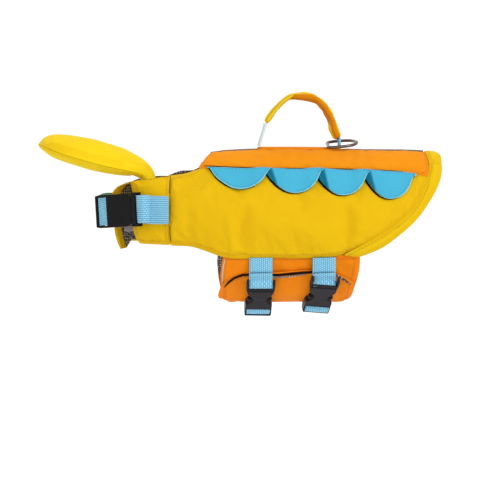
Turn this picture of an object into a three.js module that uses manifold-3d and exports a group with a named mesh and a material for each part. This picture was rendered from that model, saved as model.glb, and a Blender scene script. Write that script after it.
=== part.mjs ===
import * as THREE from 'three'
import ManifoldModule from 'manifold-3d'
import { mergeVertices } from 'three/addons/utils/BufferGeometryUtils.js'

// A dog's life jacket as it stands filled out by a wearer that isn't there.
// Millimetres. +X runs from the head to the tail, -Y is the wearer's left side, +Z is up.
// The origin is on the inner face of the back, under the handle.

const manifold = await ManifoldModule()
manifold.setup()

// Layers, as distances out from the wearer's own surface
const LINING = { inner: 0, outer: 1.6 }
const PAD = { inner: 2.2, edge: 5, full: 8.6, shoulder: 13 }
const BELLY = { lining: 1.5, under: [1.8, 4.3], over: [5, 7.6] }
const SPINE = { inner: 2.2, outer: 8.1, half: 7 }
const SCALLOP_THICK = 2
const WEBBING_THICK = 2
const BELLY_WEBBING = 25
const NECK_WEBBING = 30

// How far the outlines below lean, because they are read from a little ahead and a little above
const LEAN = 0.052

// The general figure under the jacket: half width, and the heights of its top and its underside
const FIGURE = [
  { x: -228, wide: 2, top: -3, low: -118 },
  { x: -216, wide: 9, top: -3, low: -121 },
  { x: -204, wide: 17, top: -3, low: -125 },
  { x: -184, wide: 29, top: -3, low: -131 },
  { x: -162, wide: 40, top: -3, low: -139 },
  { x: -141, wide: 49, top: -4, low: -146 },
  { x: -110, wide: 57.5, top: -4.5, low: -151 },
  { x: -95, wide: 60, top: -3.3, low: -152 },
  { x: -80, wide: 61.5, top: -1.4, low: -152 },
  { x: -47, wide: 63, top: 0, low: -152 },
  { x: 0, wide: 63, top: 0, low: -152 },
  { x: 60, wide: 61.5, top: -1, low: -151.5 },
  { x: 110, wide: 58, top: -1.4, low: -150 },
  { x: 135, wide: 55.5, top: -2.6, low: -148 },
  { x: 155, wide: 53, top: -6, low: -146 }
]
const NARROWER_BELOW = 0.12

function smoothColumn(rows, x, column) {
  let i = 1
  while (i < rows.length - 2 && rows[i + 1].x < x) i += 1
  if (x < rows[1].x) i = 0
  const slope = (k) => {
    const a = rows[Math.max(k - 1, 0)]
    const b = rows[Math.min(k + 1, rows.length - 1)]
    return (b[column] - a[column]) / (b.x - a.x)
  }
  const from = rows[i]
  const to = rows[i + 1]
  const step = to.x - from.x
  const t = (x - from.x) / step
  const t2 = t * t
  const t3 = t2 * t
  return (2 * t3 - 3 * t2 + 1) * from[column] + (t3 - 2 * t2 + t) * step * slope(i)
    + (3 * t2 - 2 * t3) * to[column] + (t3 - t2) * step * slope(i + 1)
}

function figureAt(x) {
  const top = smoothColumn(FIGURE, x, 'top')
  const low = smoothColumn(FIGURE, x, 'low')
  return { wide: smoothColumn(FIGURE, x, 'wide'), middle: (top + low) / 2, tall: (top - low) / 2 }
}

const narrowing = (turn) => 1 - NARROWER_BELOW * (1 - Math.cos(turn)) / 2

function bare(x, turn) {
  const f = figureAt(x)
  return new THREE.Vector3(x, -f.wide * narrowing(turn) * Math.sin(turn),
    f.middle + f.tall * Math.cos(turn))
}

function outward(x, turn) {
  const along = bare(x + 0.5, turn).sub(bare(x - 0.5, turn))
  const around = bare(x, turn + 0.01).sub(bare(x, turn - 0.01))
  return around.cross(along).normalize()
}

// A point over the figure: turn runs from the spine (0) down the left side to the belly (pi) and on
const over = (x, turn, out) => bare(x, turn).addScaledVector(outward(x, turn), out)

// A place on the left side from the place where it is seen
function seen(x, z) {
  let side = 0
  let rise = 0
  for (let i = 0; i < 6; i += 1) {
    const f = figureAt(x - LEAN * side)
    rise = Math.max(-1, Math.min(1, (z + LEAN * side - f.middle) / (f.tall + 8)))
    side = (f.wide + 8) * narrowing(Math.acos(rise)) * Math.sqrt(1 - rise * rise)
  }
  return { x: x - LEAN * side, turn: Math.acos(rise) }
}

const seenAll = (places) => places.map(([x, z]) => seen(x, z))
const across = (node) => 66 * node.turn
const apart = (a, b) => Math.hypot(a.x - b.x, across(a) - across(b))

function lengthOf(edge) {
  return edge.slice(1).reduce((sum, node, i) => sum + apart(edge[i], node), 0)
}

// A smooth curve through an edge's places, at a share of its length
function along(edge, share) {
  let left = share * lengthOf(edge)
  let i = 0
  while (i < edge.length - 2 && left > apart(edge[i], edge[i + 1])) {
    left -= apart(edge[i], edge[i + 1])
    i += 1
  }
  const t = Math.min(1, left / Math.max(apart(edge[i], edge[i + 1]), 1e-6))
  const from = edge[i]
  const to = edge[i + 1]
  const slope = (k, column) => {
    if (k === 0 || k === edge.length - 1) {
      const a = edge[Math.max(k - 1, 0)]
      const b = edge[Math.min(k + 1, edge.length - 1)]
      return (b[column] - a[column]) / Math.max(apart(a, b), 1e-6)
    }
    const before = apart(edge[k - 1], edge[k])
    const after = apart(edge[k], edge[k + 1])
    return (edge[k + 1][column] - edge[k - 1][column]) / Math.max(before + after, 1e-6)
  }
  const step = apart(from, to)
  const at = (column) => {
    const t2 = t * t
    const t3 = t2 * t
    return (2 * t3 - 3 * t2 + 1) * from[column] + (t3 - 2 * t2 + t) * step * slope(i, column)
      + (3 * t2 - 2 * t3) * to[column] + (t3 - t2) * step * slope(i + 1, column)
  }
  return { x: at('x'), turn: at('turn') }
}

// Shares along a side, closer together near both ends, where padding rounds off
function shares(length, step, near = [2.5, 7]) {
  const marks = near.filter((mark) => mark < length / 3)
  const start = marks.length ? marks[marks.length - 1] : 0
  const count = Math.max(1, Math.round((length - 2 * start) / step))
  const inside = []
  for (let i = 0; i <= count; i += 1) inside.push(start + (length - 2 * start) * i / count)
  const all = new Set([0, ...marks, ...inside, ...marks.map((mark) => length - mark), length])
  return [...all].sort((a, b) => a - b).filter((mark, i, list) => i === 0 || mark - list[i - 1] > 0.05)
    .map((mark) => mark / length)
}

// The grid of places inside four edges
function patch(edges, step, near) {
  const columns = shares((lengthOf(edges.top) + lengthOf(edges.bottom)) / 2, step, near)
  const rows = shares((lengthOf(edges.left) + lengthOf(edges.right)) / 2, step, near)
  return rows.map((v) => columns.map((u) => {
    const top = along(edges.top, u)
    const bottom = along(edges.bottom, u)
    const left = along(edges.left, v)
    const right = along(edges.right, v)
    const corner = (edge, share, column) => along(edge, share)[column]
    const mix = (column) => (1 - v) * top[column] + v * bottom[column]
      + (1 - u) * left[column] + u * right[column]
      - (1 - u) * (1 - v) * corner(edges.top, 0, column) - u * (1 - v) * corner(edges.top, 1, column)
      - (1 - u) * v * corner(edges.bottom, 0, column) - u * v * corner(edges.bottom, 1, column)
    return { x: mix('x'), turn: mix('turn') }
  }))
}

function closed(positions, index) {
  let volume = 0
  for (let i = 0; i < index.length; i += 3) {
    const [a, b, c] = [positions[index[i]], positions[index[i + 1]], positions[index[i + 2]]]
    volume += a.dot(b.clone().cross(c))
  }
  if (volume < 0) {
    for (let i = 0; i < index.length; i += 3) [index[i], index[i + 1]] = [index[i + 1], index[i]]
  }
  const geometry = new THREE.BufferGeometry().setFromPoints(positions)
  geometry.setIndex(index)
  geometry.computeVertexNormals()
  return geometry
}

// A closed piece between two grids of points with the same layout
function between(outer, inner) {
  const rows = outer.length
  const columns = outer[0].length
  const positions = [...outer.flat(), ...inner.flat()]
  const index = []
  const at = (layer, row, column) => layer * rows * columns + row * columns + column
  const quad = (a, b, c, d) => index.push(a, b, c, a, c, d)
  for (let r = 0; r < rows - 1; r += 1) {
    for (let c = 0; c < columns - 1; c += 1) {
      quad(at(0, r, c), at(0, r, c + 1), at(0, r + 1, c + 1), at(0, r + 1, c))
      quad(at(1, r, c), at(1, r + 1, c), at(1, r + 1, c + 1), at(1, r, c + 1))
    }
  }
  for (let c = 0; c < columns - 1; c += 1) {
    quad(at(0, 0, c + 1), at(0, 0, c), at(1, 0, c), at(1, 0, c + 1))
    quad(at(0, rows - 1, c), at(0, rows - 1, c + 1), at(1, rows - 1, c + 1), at(1, rows - 1, c))
  }
  for (let r = 0; r < rows - 1; r += 1) {
    quad(at(0, r, 0), at(0, r + 1, 0), at(1, r + 1, 0), at(1, r, 0))
    quad(at(0, r + 1, columns - 1), at(0, r, columns - 1), at(1, r, columns - 1), at(1, r + 1, columns - 1))
  }
  return closed(positions, index)
}

function slab(nodes, innerOf, outerOf) {
  const layer = (outOf) => nodes.map((row) => row.map((node) => over(node.x, node.turn, outOf(node))))
  return between(layer(outerOf), layer(innerOf))
}

const mirrored = (nodes) => nodes.map((row) => row.map(({ x, turn }) => ({ x, turn: 2 * Math.PI - turn })))

// Distance from a place to the outline of its panel
function toOutline(node, edges) {
  const sides = [edges.top, edges.right, edges.bottom, edges.left]
  let nearest = Infinity
  for (const side of sides) {
    for (let i = 0; i < side.length - 1; i += 1) {
      const a = side[i]
      const b = side[i + 1]
      const dx = b.x - a.x
      const dy = across(b) - across(a)
      const along2 = ((node.x - a.x) * dx + (across(node) - across(a)) * dy) / (dx * dx + dy * dy + 1e-9)
      const t = Math.max(0, Math.min(1, along2))
      nearest = Math.min(nearest, Math.hypot(node.x - a.x - t * dx, across(node) - across(a) - t * dy))
    }
  }
  return nearest
}

const rounded = (distance, reach) => {
  const t = Math.min(1, distance / reach)
  return Math.sqrt(1 - (1 - t) * (1 - t))
}

// Soft upright folds in the left and right side panels
const FOLDS = [
  { x: -68, half: 8, deep: 1.8, from: -48, to: -116 },
  { x: 47, half: 8, deep: 1.6, from: -48, to: -116 },
  { x: -116, half: 9, deep: 1.1, from: -50, to: -100 }
]

function foldAt(node) {
  const z = bare(node.x, node.turn).z
  return FOLDS.reduce((sum, fold) => {
    const side = Math.exp(-(((node.x - fold.x) / fold.half) ** 2))
    const above = Math.max(0, Math.min(1, (fold.from - z) / 20))
    const rise = above * Math.max(0, Math.min(1, (z - fold.to) / 12))
    return sum + fold.deep * side * rise
  }, 0)
}

function padOut(node, edges) {
  return PAD.edge + (PAD.full - PAD.edge) * rounded(toOutline(node, edges), PAD.shoulder)
}

// Outlines of the pieces on the left side, as seen
const SEAM = [[-107, -12.4], [-100.2, -12.6], [-66, -14.2], [-33.9, -15], [23.4, -15.4], [73.5, -16.8],
  [110, -18.3],
  [134.6, -22.2]]
const SPINE_TURN = SPINE.half / 58
const spinePlace = (x) => ({ x, turn: SPINE_TURN })

const BACK = {
  top: [-96, -80, -47, 0, 60, 110, 131.5].map(spinePlace),
  bottom: seenAll(SEAM),
  left: [spinePlace(-96), ...seenAll([[-97.5, 1], [-102, -4], [-107, -12.4]])],
  right: [spinePlace(131.5), ...seenAll([[136.2, -3], [137.4, -9.5], [136.8, -16], [134.6, -22.2]])]
}

const below = ([x, z]) => [x, z - 0.5]
const SIDE = {
  top: seenAll([[-140.2, -22.5], [-130.7, -21], [-119.5, -20.2], [-114.8, -15.6], [-107, -12.9],
    ...SEAM.slice(1).map(below)]),
  right: seenAll([[134.6, -22.7], [131.4, -36.7], [116.2, -62.6], [90.3, -84.2], [68.7, -97.2],
    [46, -109.8]]),
  bottom: seenAll([[-140.2, -97.7], [-116.6, -98.3], [-92.9, -106.9], [-79.9, -111.8], [-20, -112.3],
    [20, -112.3],
    [46, -109.8]]),
  left: seenAll([[-140.2, -22.5], [-140.5, -50], [-140.5, -75], [-140.2, -97.7]])
}

const TAIL_SIDE = {
  left: seenAll([[138.2, -6.5], [138.2, -16], [135.5, -23.4], [132.4, -37.2], [117.2, -63.2], [91.3, -84.8],
    [69.7, -97.8], [47, -110.6]]),
  right: seenAll([[149.9, -7.5], [149.8, -17.8], [148.6, -23.8], [142.8, -38.9], [125.3, -67],
    [105.8, -86.4],
    [86.4, -101.5], [62, -112.3]]),
  top: seenAll([[138.2, -6.5], [144, -7], [149.9, -7.5]]),
  bottom: seenAll([[47, -110.6], [54, -112.1], [62, -112.3]])
}

const TAIL_TOP = {
  left: [...seenAll([[138, -6]]), { x: 133.5, turn: 0 },
    ...seenAll([[138, -6]]).map(({ x, turn }) => ({ x, turn: -turn }))],
  right: [...seenAll([[149.9, -7]]), { x: 148, turn: 0 },
    ...seenAll([[149.9, -7]]).map(({ x, turn }) => ({ x, turn: -turn }))],
  top: seenAll([[138, -6], [144, -6.5], [149.9, -7]]),
  bottom: seenAll([[138, -6], [144, -6.5], [149.9, -7]]).map(({ x, turn }) => ({ x, turn: -turn }))
}

const NECK_SEAM = seenAll([[-140.55, -22.2], [-140.85, -50], [-140.85, -75], [-140.55, -97.7]])
const NECK_LEFT = {
  top: [NECK_SEAM[0], ...seenAll([[-148, -21.5], [-161.5, -23.3], [-173.9, -24.8], [-181.3, -25.4]])],
  left: NECK_SEAM,
  right: seenAll([[-181.3, -25.4], [-178.4, -40.8], [-178, -58], [-177.8, -76.1], [-176.6, -88],
    [-171.5, -97.4]]),
  bottom: [NECK_SEAM[3], ...seenAll([[-156, -98], [-171.5, -97.4]])]
}

const farPlace = (x, z) => {
  const f = figureAt(x)
  const rise = Math.max(-1, Math.min(1, (z - f.middle) / (f.tall + 8)))
  return { x, turn: Math.acos(rise) }
}
const NECK_RIGHT = {
  top: [NECK_SEAM[0], farPlace(-152, -19.5), farPlace(-165, -21.5), farPlace(-180, -24),
    farPlace(-190.5, -28.5)],
  left: NECK_SEAM,
  right: [farPlace(-190.5, -28.5), farPlace(-200.8, -42.5), farPlace(-199, -62), farPlace(-197.5, -81),
    farPlace(-195.5, -95),
    farPlace(-191, -107)],
  bottom: [NECK_SEAM[3], farPlace(-160, -97.5), farPlace(-176, -102.5), farPlace(-191, -107)]
}

// The right neck lining stops short of the front rim, where the yellow cloth is turned in
const RIM = 5
const turnedIn = ({ x, turn }) => ({ x: x + RIM, turn })
const NECK_RIGHT_LINING = {
  top: [...NECK_RIGHT.top.slice(0, -1), turnedIn(NECK_RIGHT.top.at(-1))],
  left: NECK_RIGHT.left,
  right: NECK_RIGHT.right.map(turnedIn),
  bottom: [...NECK_RIGHT.bottom.slice(0, -1), turnedIn(NECK_RIGHT.bottom.at(-1))]
}

const LINING_SIDE = {
  top: [-94.5, -47, 0, 60, 110, 143].map((x) => ({ x, turn: 0.004 })),
  left: [{ x: -94.5, turn: 0.004 },
    ...seenAll([[-102, -2.5], [-110, -11.4], [-115.5, -14.6], [-121, -18.9], [-132, -19.8],
    [-140.2, -22.5], [-140.5, -50], [-140.5, -75], [-140.2, -98]])],
  right: [{ x: 143, turn: 0.004 },
    ...seenAll([[148.4, -8], [148.4, -18], [141.6, -38.9], [124, -67], [104.6, -86.4],
    [85.4, -101.5], [62, -112.2]])],
  bottom: seenAll([[-140.2, -98], [-116.6, -98.8], [-92.9, -107.4], [-79.9, -112], [-20, -112.4],
    [20, -112.4], [62, -112.2]])
}

// Scallops sewn into the seam, each lying over the one behind it
const SCALLOPS = [
  { from: -100, to: -33, low: -38 },
  { from: -41, to: 24, low: -42.6 },
  { from: 13, to: 74, low: -45.1 },
  { from: 65, to: 123.4, low: -48.9 }
]

function seamHeight(x) {
  let i = 0
  while (i < SEAM.length - 2 && SEAM[i + 1][0] < x) i += 1
  const [a, b] = [SEAM[i], SEAM[i + 1]]
  return a[1] + (b[1] - a[1]) * (x - a[0]) / (b[0] - a[0]) - 0.6
}

function scallop({ from, to, low }, last) {
  const middle = (from + to) / 2
  const half = (to - from) / 2
  const columns = 13
  const nodes = []
  for (const down of [0, 0.07, 0.17, 0.3, 0.5, 0.75, 1]) {
    const row = []
    for (let c = 0; c <= columns; c += 1) {
      const side = -Math.cos(Math.PI * c / columns)
      const x = middle + half * side
      const top = seamHeight(x)
      const arch = Math.pow(Math.max(0, 1 - Math.abs(side) ** 2.1), 0.62)
      const edge = top - 3 - (top - 3 - low) * arch
      row.push({ ...seen(x, top + (edge - top) * down), side })
    }
    nodes.push(row)
  }
  const lift = (node) => {
    const rest = padOut(node, SIDE) - 0.2 * foldAt(node) + 0.65
    if (last) return rest
    const t = Math.max(0, Math.min(1, (node.side * half - half + 22) / 10))
    return rest + (SCALLOP_THICK + 0.5) * t * t * (3 - 2 * t)
  }
  return { nodes, lift }
}

function mirroredY(geometry) {
  const flipped = geometry.clone()
  flipped.scale(1, -1, 1)
  const index = flipped.getIndex()
  for (let i = 0; i < index.count; i += 3) {
    const a = index.getX(i)
    index.setX(i, index.getX(i + 1))
    index.setX(i + 1, a)
  }
  flipped.computeVertexNormals()
  return flipped
}

// Belly flaps: the under one hangs from the left hem, the over one from the right hem
const atBelly = (x, degrees) => ({ x, turn: degrees * Math.PI / 180 })
const HEM_GAP = 0.9
const rightHem = (x) => {
  const place = seen(x + 3, -113.3)
  return { x, turn: 2 * Math.PI - place.turn }
}
const UNDER_FLAP = {
  top: seenAll([[-82.8, -112.3 - HEM_GAP], [-20, -113.2], [20, -113.2], [60.6, -112.3 - HEM_GAP]]),
  left: [...seenAll([[-82.8, -112.3 - HEM_GAP], [-84.8, -128], [-85.4, -142]]), atBelly(-83, 168),
    atBelly(-78, 184), atBelly(-74, 196)],
  right: [...seenAll([[60.6, -112.3 - HEM_GAP], [60.4, -126], [56.4, -144]]), atBelly(50, 168),
    atBelly(46, 184), atBelly(44, 196)],
  bottom: [atBelly(-74, 196), atBelly(-20, 198), atBelly(44, 196)]
}
const OVER_FLAP = {
  top: seenAll([[-84.4, -143.6], [-77.5, -138.6], [-71.9, -135.4], [-59.5, -131], [-29.7, -131],
    [9.9, -128], [38.4, -131.7],
    [44.7, -135.4], [55.4, -141.5]]),
  left: [...seenAll([[-84.4, -143.6], [-85, -149]]), atBelly(-85, 166), atBelly(-80, 180),
    atBelly(-82, 200), atBelly(-86, 225),
    rightHem(-85.8)],
  right: [...seenAll([[55.4, -141.5], [54.5, -148]]), atBelly(50, 166), atBelly(47, 180), atBelly(50, 200),
    atBelly(58, 225),
    rightHem(58)],
  bottom: [rightHem(-85.8), rightHem(-20), rightHem(20), rightHem(58)]
}

// A strip or bar swept along stations; the profile runs round it in half widths and half thicknesses
const FLAT = [[-1, -1], [1, -1], [1, 1], [-1, 1]]
const round = (count) => Array.from({ length: count }, (_, i) => {
  const a = 2 * Math.PI * i / count
  return [Math.cos(a), Math.sin(a)]
})
const SOFT = [[-1, -0.35], [-0.86, -0.95], [0, -1], [0.86, -0.95], [1, -0.35], [1, 0.35], [0.86, 0.95],
  [0, 1], [-0.86, 0.95],
  [-1, 0.35]]

function sweep(stations, profile, ring = false) {
  const positions = []
  const index = []
  const count = profile.length
  for (const { at, side, out, wide, thick } of stations) {
    for (const [a, b] of profile) {
      positions.push(at.clone().addScaledVector(side, a * wide / 2).addScaledVector(out, b * thick / 2))
    }
  }
  const steps = ring ? stations.length : stations.length - 1
  for (let s = 0; s < steps; s += 1) {
    const next = (s + 1) % stations.length
    for (let k = 0; k < count; k += 1) {
      const a = s * count + k
      const b = s * count + (k + 1) % count
      const c = next * count + (k + 1) % count
      const d = next * count + k
      index.push(a, b, c, a, c, d)
    }
  }
  if (!ring) {
    const end = (stations.length - 1) * count
    for (let k = 1; k < count - 1; k += 1) {
      index.push(0, k + 1, k)
      index.push(end, end + k, end + k + 1)
    }
  }
  return closed(positions, index)
}

// Webbing along a smooth line; sides gives the direction of its width at each point
function webbing(points, sides, wide) {
  const curve = new THREE.CatmullRomCurve3(points, false, 'centripetal')
  const stations = []
  const steps = (points.length - 1) * 2
  for (let i = 0; i <= steps; i += 1) {
    const at = curve.getPoint(i / steps)
    const tangent = curve.getTangent(i / steps)
    const side = sides[Math.floor(i / 2)].clone().lerp(sides[Math.ceil(i / 2)], 0.5)
    const flat = side.clone().addScaledVector(tangent, -side.dot(tangent)).normalize()
    stations.push({ at, side: flat, out: tangent.clone().cross(flat), wide, thick: WEBBING_THICK })
  }
  return sweep(stations, FLAT)
}

// Side-release buckles, along local x from the male's webbing bar to the female's
const BELLY_BUCKLE = { web: 25, half: 14.6, long: 49, frame: 15.5, thick: 8 }
const NECK_BUCKLE = { web: 30, half: 17.8, long: 63, frame: 20, thick: 9 }
const BAR = 3.6
const SLOT = 4
const WAIST = 0.28
const END_BAR = 3.4
const MIDDLE_BAR = 4.6
const LADDER = END_BAR + MIDDLE_BAR + 2 * SLOT

function shaped(points, thick, bevel) {
  const shape = new THREE.Shape(points.map(([x, y]) => new THREE.Vector2(x, y)))
  const geometry = new THREE.ExtrudeGeometry(shape, {
    depth: thick - 2 * bevel, bevelEnabled: true, bevelSize: bevel, bevelThickness: bevel,
      bevelOffset: -bevel,
    bevelSegments: 1, steps: 1, curveSegments: 4
  })
  geometry.translate(0, 0, -(thick - 2 * bevel) / 2)
  return solid(geometry)
}

function solid(geometry) {
  geometry.deleteAttribute('normal')
  geometry.deleteAttribute('uv')
  const whole = mergeVertices(geometry, 1e-4)
  const position = whole.getAttribute('position')
  const triangles = Uint32Array.from(whole.getIndex().array)
  return new manifold.Manifold(new manifold.Mesh({
    numProp: 3, vertProperties: new Float32Array(position.array), triVerts: triangles
  }))
}

function meshOf(body) {
  const mesh = body.getMesh()
  const geometry = new THREE.BufferGeometry()
  geometry.setAttribute('position', new THREE.BufferAttribute(new Float32Array(mesh.vertProperties), 3))
  geometry.setIndex(Array.from(mesh.triVerts))
  return geometry
}

const corners = (x0, x1, half, cut) => [[x0 + cut, -half], [x1 - cut, -half], [x1, -half + cut],
  [x1, half - cut],
  [x1 - cut, half], [x0 + cut, half], [x0, half - cut], [x0, -half + cut]]
const block = (x0, x1, half, thick, z = 0) => {
  const box = new THREE.BoxGeometry(x1 - x0, 2 * half, thick)
  return solid(box.translate((x0 + x1) / 2, 0, z))
}

function maleBuckle({ web, half, frame, long }) {
  const mid = frame + (long - frame) * WAIST
  const reach = web / 2 + 0.6
  const body = shaped(corners(0, frame + 2, half, 2.4), 4.8, 0.8)
    .subtract(block(BAR, BAR + SLOT, reach, 8))
    .subtract(block(2 * BAR + SLOT, 2 * BAR + 1.7 * SLOT, reach, 8))
  const rail = shaped(corners(frame, mid + 3.4, 2.4, 0.8), 3.6, 0.5)
  const arm = (turn) => shaped([
    [frame, half * 0.44], [mid - 3, half * 0.48], [mid + 3, half * 0.64], [mid + 3.4, half * 0.95],
    [mid - 1, half * 0.99],
    [mid - 3.6, half * 0.78], [frame, half * 0.66]
  ].map(([x, y]) => [x, y * turn]), 4, 0.4)
  return meshOf(manifold.Manifold.union([body, rail, arm(1), arm(-1)]))
}

function femaleBuckle({ web, half, frame, long, thick }) {
  const from = frame + 2.7
  const mid = frame + (long - frame) * WAIST
  const reach = web / 2 + 0.6
  const waist = (turn) => [[from, half * 0.9], [from + 1.6, half], [mid - 4.6, half * 0.72],
    [mid + 4.2, half * 0.72], [mid + 8, half],
    [long - 3, half * 0.96], [long, half * 0.8]].map(([x, y]) => [x, y * turn])
  const body = shaped([...waist(-1), ...waist(1).reverse()], thick, 0.8)
    .subtract(block(from - 1, mid + 4, half * 0.8, 5))
    .subtract(block(long - END_BAR - SLOT, long - END_BAR, reach, thick + 2))
    .subtract(block(long - LADDER, long - LADDER + SLOT, reach, thick + 2))
  const thin = (z) => block(long - LADDER, long + 4, reach, thick, z * (thick / 2 + 2.2))
  return meshOf(body.subtract(thin(1)).subtract(thin(-1)))
}

// Stands local x, y, z on two ends and a direction for the width
function placing(from, to, side) {
  const x = to.clone().sub(from).normalize()
  const y = side.clone().addScaledVector(x, -side.dot(x)).normalize()
  const z = x.clone().cross(y)
  return new THREE.Matrix4().makeBasis(x, y, z).setPosition(from)
}

// Webbing round the male's end bar, as local points from the outer layer to the inner one
const LOOP = [[-4, 3.6], [0.2, 4.1], [2.6, 4.1], [4.7, 3.4], [5.6, 1.7], [5.7, 0], [5.6, -1.7], [4.7, -3.4],
  [2.6, -4.1],
  [0.2, -4.1], [-4, -3.6]].map(([x, z]) => new THREE.Vector3(x, 0, z))

// Webbing through the female's ladder, from its cut end, up over the middle bar, and out under the end bar
const throughLadder = (long) => [[-2.5, -6.9], [-5, -6.7], [-7.5, -5.7], [-9.7, -4.6], [-11.2, -4.2],
  [-13.4, -2.8], [-14, 0],
  [-13.4, 2.8], [-11.8, 4.2], [-9.7, 4.4], [-7.6, 4.4], [-5.9, 3], [-5.4, 0], [-4.9, -2.9], [-1, -4.4],
  [2.5, -4.7]].map(([x, z]) => new THREE.Vector3(long + x, 0, z))

const NECK_FROM = new THREE.Vector3(-173.5, -53.5, -56.5)
const NECK_TO = new THREE.Vector3(-217.5, -9.5, -61.5)
const BELLY_BUCKLES = [
  { name: 'front', x: -46.2, from: [-47.2, -141.3], to: [-9, -171.6], lean: -1.4 },
  { name: 'rear', x: 21.6, from: [-49.8, -141.2], to: [-10.8, -169.8], lean: -7 }
]

const UP = new THREE.Vector3(0, 0, 1)
const DOWN = new THREE.Vector3(0, 0, -1)
const TAILWARD = new THREE.Vector3(1, 0, 0)

const COLOURS = {
  yellow: 0xeec00c, orange: 0xfa9b16, blue: 0x4bb9dc, webbing: 0x7dc3e6, mesh: 0x2b211f, patch: 0xa596a0,
    black: 0x17171b,
  grey: 0x3a363e, steel: 0x6b6560
}
const group = new THREE.Group()
group.name = 'dog_life_jacket'
function add(name, geometry, colour, metal = 0) {
  const material = new THREE.MeshStandardMaterial({ color: COLOURS[colour], roughness: metal ? 0.35 : 0.8,
    metalness: metal })
  const mesh = new THREE.Mesh(geometry, material)
  mesh.name = name
  group.add(mesh)
}

// Back, sides and lining
const backNodes = patch(BACK, 15)
const backOut = (node) => padOut(node, BACK)
const back = slab(backNodes, () => PAD.inner, backOut)
add('back_panel_left', back, 'orange')
add('back_panel_right', mirroredY(back), 'orange')

const sideNodes = patch(SIDE, 12)
const side = slab(sideNodes, () => PAD.inner, (node) => padOut(node, SIDE) - foldAt(node))
add('side_panel_left', side, 'yellow')
add('side_panel_right', mirroredY(side), 'yellow')

const liningNodes = patch(LINING_SIDE, 15, [])
const lining = slab(liningNodes, () => LINING.inner, () => LINING.outer)
add('body_lining_left', lining, 'mesh')
add('body_lining_right', mirroredY(lining), 'mesh')

function spineStrip(from, to, out) {
  const count = Math.max(2, Math.round((to - from) / 14))
  const rows = [-1, -0.4, 0.4, 1].map((share) => Array.from({ length: count + 1 }, (_, i) => ({
    x: from + (to - from) * i / count, turn: share * (SPINE_TURN - 0.3 / 58), share
  })))
  return slab(rows, () => SPINE.inner, (node) => out - 0.9 * node.share ** 2)
}
add('spine_strip_front', spineStrip(-97, -47.4, SPINE.outer), 'mesh')
add('handle_saddle', spineStrip(-47, 43, SPINE.outer), 'orange')
add('spine_strip_rear', spineStrip(43.4, 131.5, SPINE.outer), 'mesh')

const tail = slab(patch(TAIL_SIDE, 10, [3]), () => PAD.inner,
  (node) => 5 + 2 * rounded(toOutline(node, TAIL_SIDE), 6))
add('tail_border_left', tail, 'yellow')
add('tail_border_right', mirroredY(tail), 'yellow')
add('tail_border_top', slab(patch(TAIL_TOP, 8, [3]), () => PAD.inner,
  (node) => 5 + 2 * rounded(toOutline(node, TAIL_TOP), 6)),
  'yellow')

for (const [i, row] of SCALLOPS.entries()) {
  const { nodes, lift } = scallop(row, i === SCALLOPS.length - 1)
  const petal = slab(nodes, lift, (node) => lift(node) + SCALLOP_THICK)
  add(`scallop_left_${i + 1}`, petal, 'blue')
  add(`scallop_right_${i + 1}`, mirroredY(petal), 'blue')
}

// Neck
const clearOfSeam = (nodes) => nodes.map((row) => row.map(({ x, turn }) => ({ x: Math.min(x, -144.6),
  turn })))
const neckPad = (edges) => (node) => padOut(node, edges)
const neckLeft = patch(NECK_LEFT, 9)
add('neck_panel_left', slab(neckLeft, () => PAD.inner, neckPad(NECK_LEFT)), 'yellow')
add('neck_lining_left', slab(clearOfSeam(patch(NECK_LEFT, 12, [])), () => LINING.inner, () => LINING.outer),
  'mesh')
const neckRight = patch(NECK_RIGHT, 9)
add('neck_panel_right', mirroredY(slab(neckRight, () => PAD.inner, neckPad(NECK_RIGHT))), 'yellow')
add('neck_lining_right', mirroredY(slab(clearOfSeam(patch(NECK_RIGHT_LINING, 12, [])), () => LINING.inner,
  () => LINING.outer)), 'mesh')

const TAB = {
  top: [farPlace(-178, -42), farPlace(-193, -42)],
  bottom: [farPlace(-177.5, -87), farPlace(-190, -87)],
  left: [farPlace(-178, -42), farPlace(-178, -62), farPlace(-177.5, -87)],
  right: [farPlace(-193, -42), farPlace(-192, -62), farPlace(-190, -87)]
}
add('neck_tab', mirroredY(slab(patch(TAB, 10, []), () => -2.4, () => -0.4)), 'patch')

// Chin float: a seam line along its side, with a deep pad over it and a shallow one under it
const FLOAT = [
  { x: -282.6, z: 11.4, half: 13, up: 2.2, down: 1.6 },
  { x: -280, z: 10.2, half: 25, up: 8, down: 3.4 },
  { x: -274.6, z: 8, half: 34, up: 13.6, down: 4.6 },
  { x: -265.5, z: 4.4, half: 40.5, up: 17, down: 5.4 },
  { x: -252.5, z: 0, half: 44, up: 20, down: 6.2 },
  { x: -233.5, z: -5.6, half: 45.5, up: 21.8, down: 6.6 },
  { x: -213.5, z: -11, half: 45, up: 21.6, down: 6.6 },
  { x: -196, z: -14.6, half: 42, up: 19.4, down: 6 },
  { x: -182.5, z: -17.6, half: 33, up: 16.6, down: 4.6 },
  { x: -172, z: -21.4, half: 22, up: 14, down: 3.4 },
  { x: -165, z: -31.5, half: 22.5, up: 9.6, down: 3 },
  { x: -161.5, z: -43, half: 33, up: 5, down: 3 },
  { x: -161.5, z: -58, half: 36.7, up: 3, down: 2.4 }
]
const FLOAT_ACROSS = [-1, -0.97, -0.86, -0.62, -0.3, 0, 0.3, 0.62, 0.86, 0.97, 1]

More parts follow.
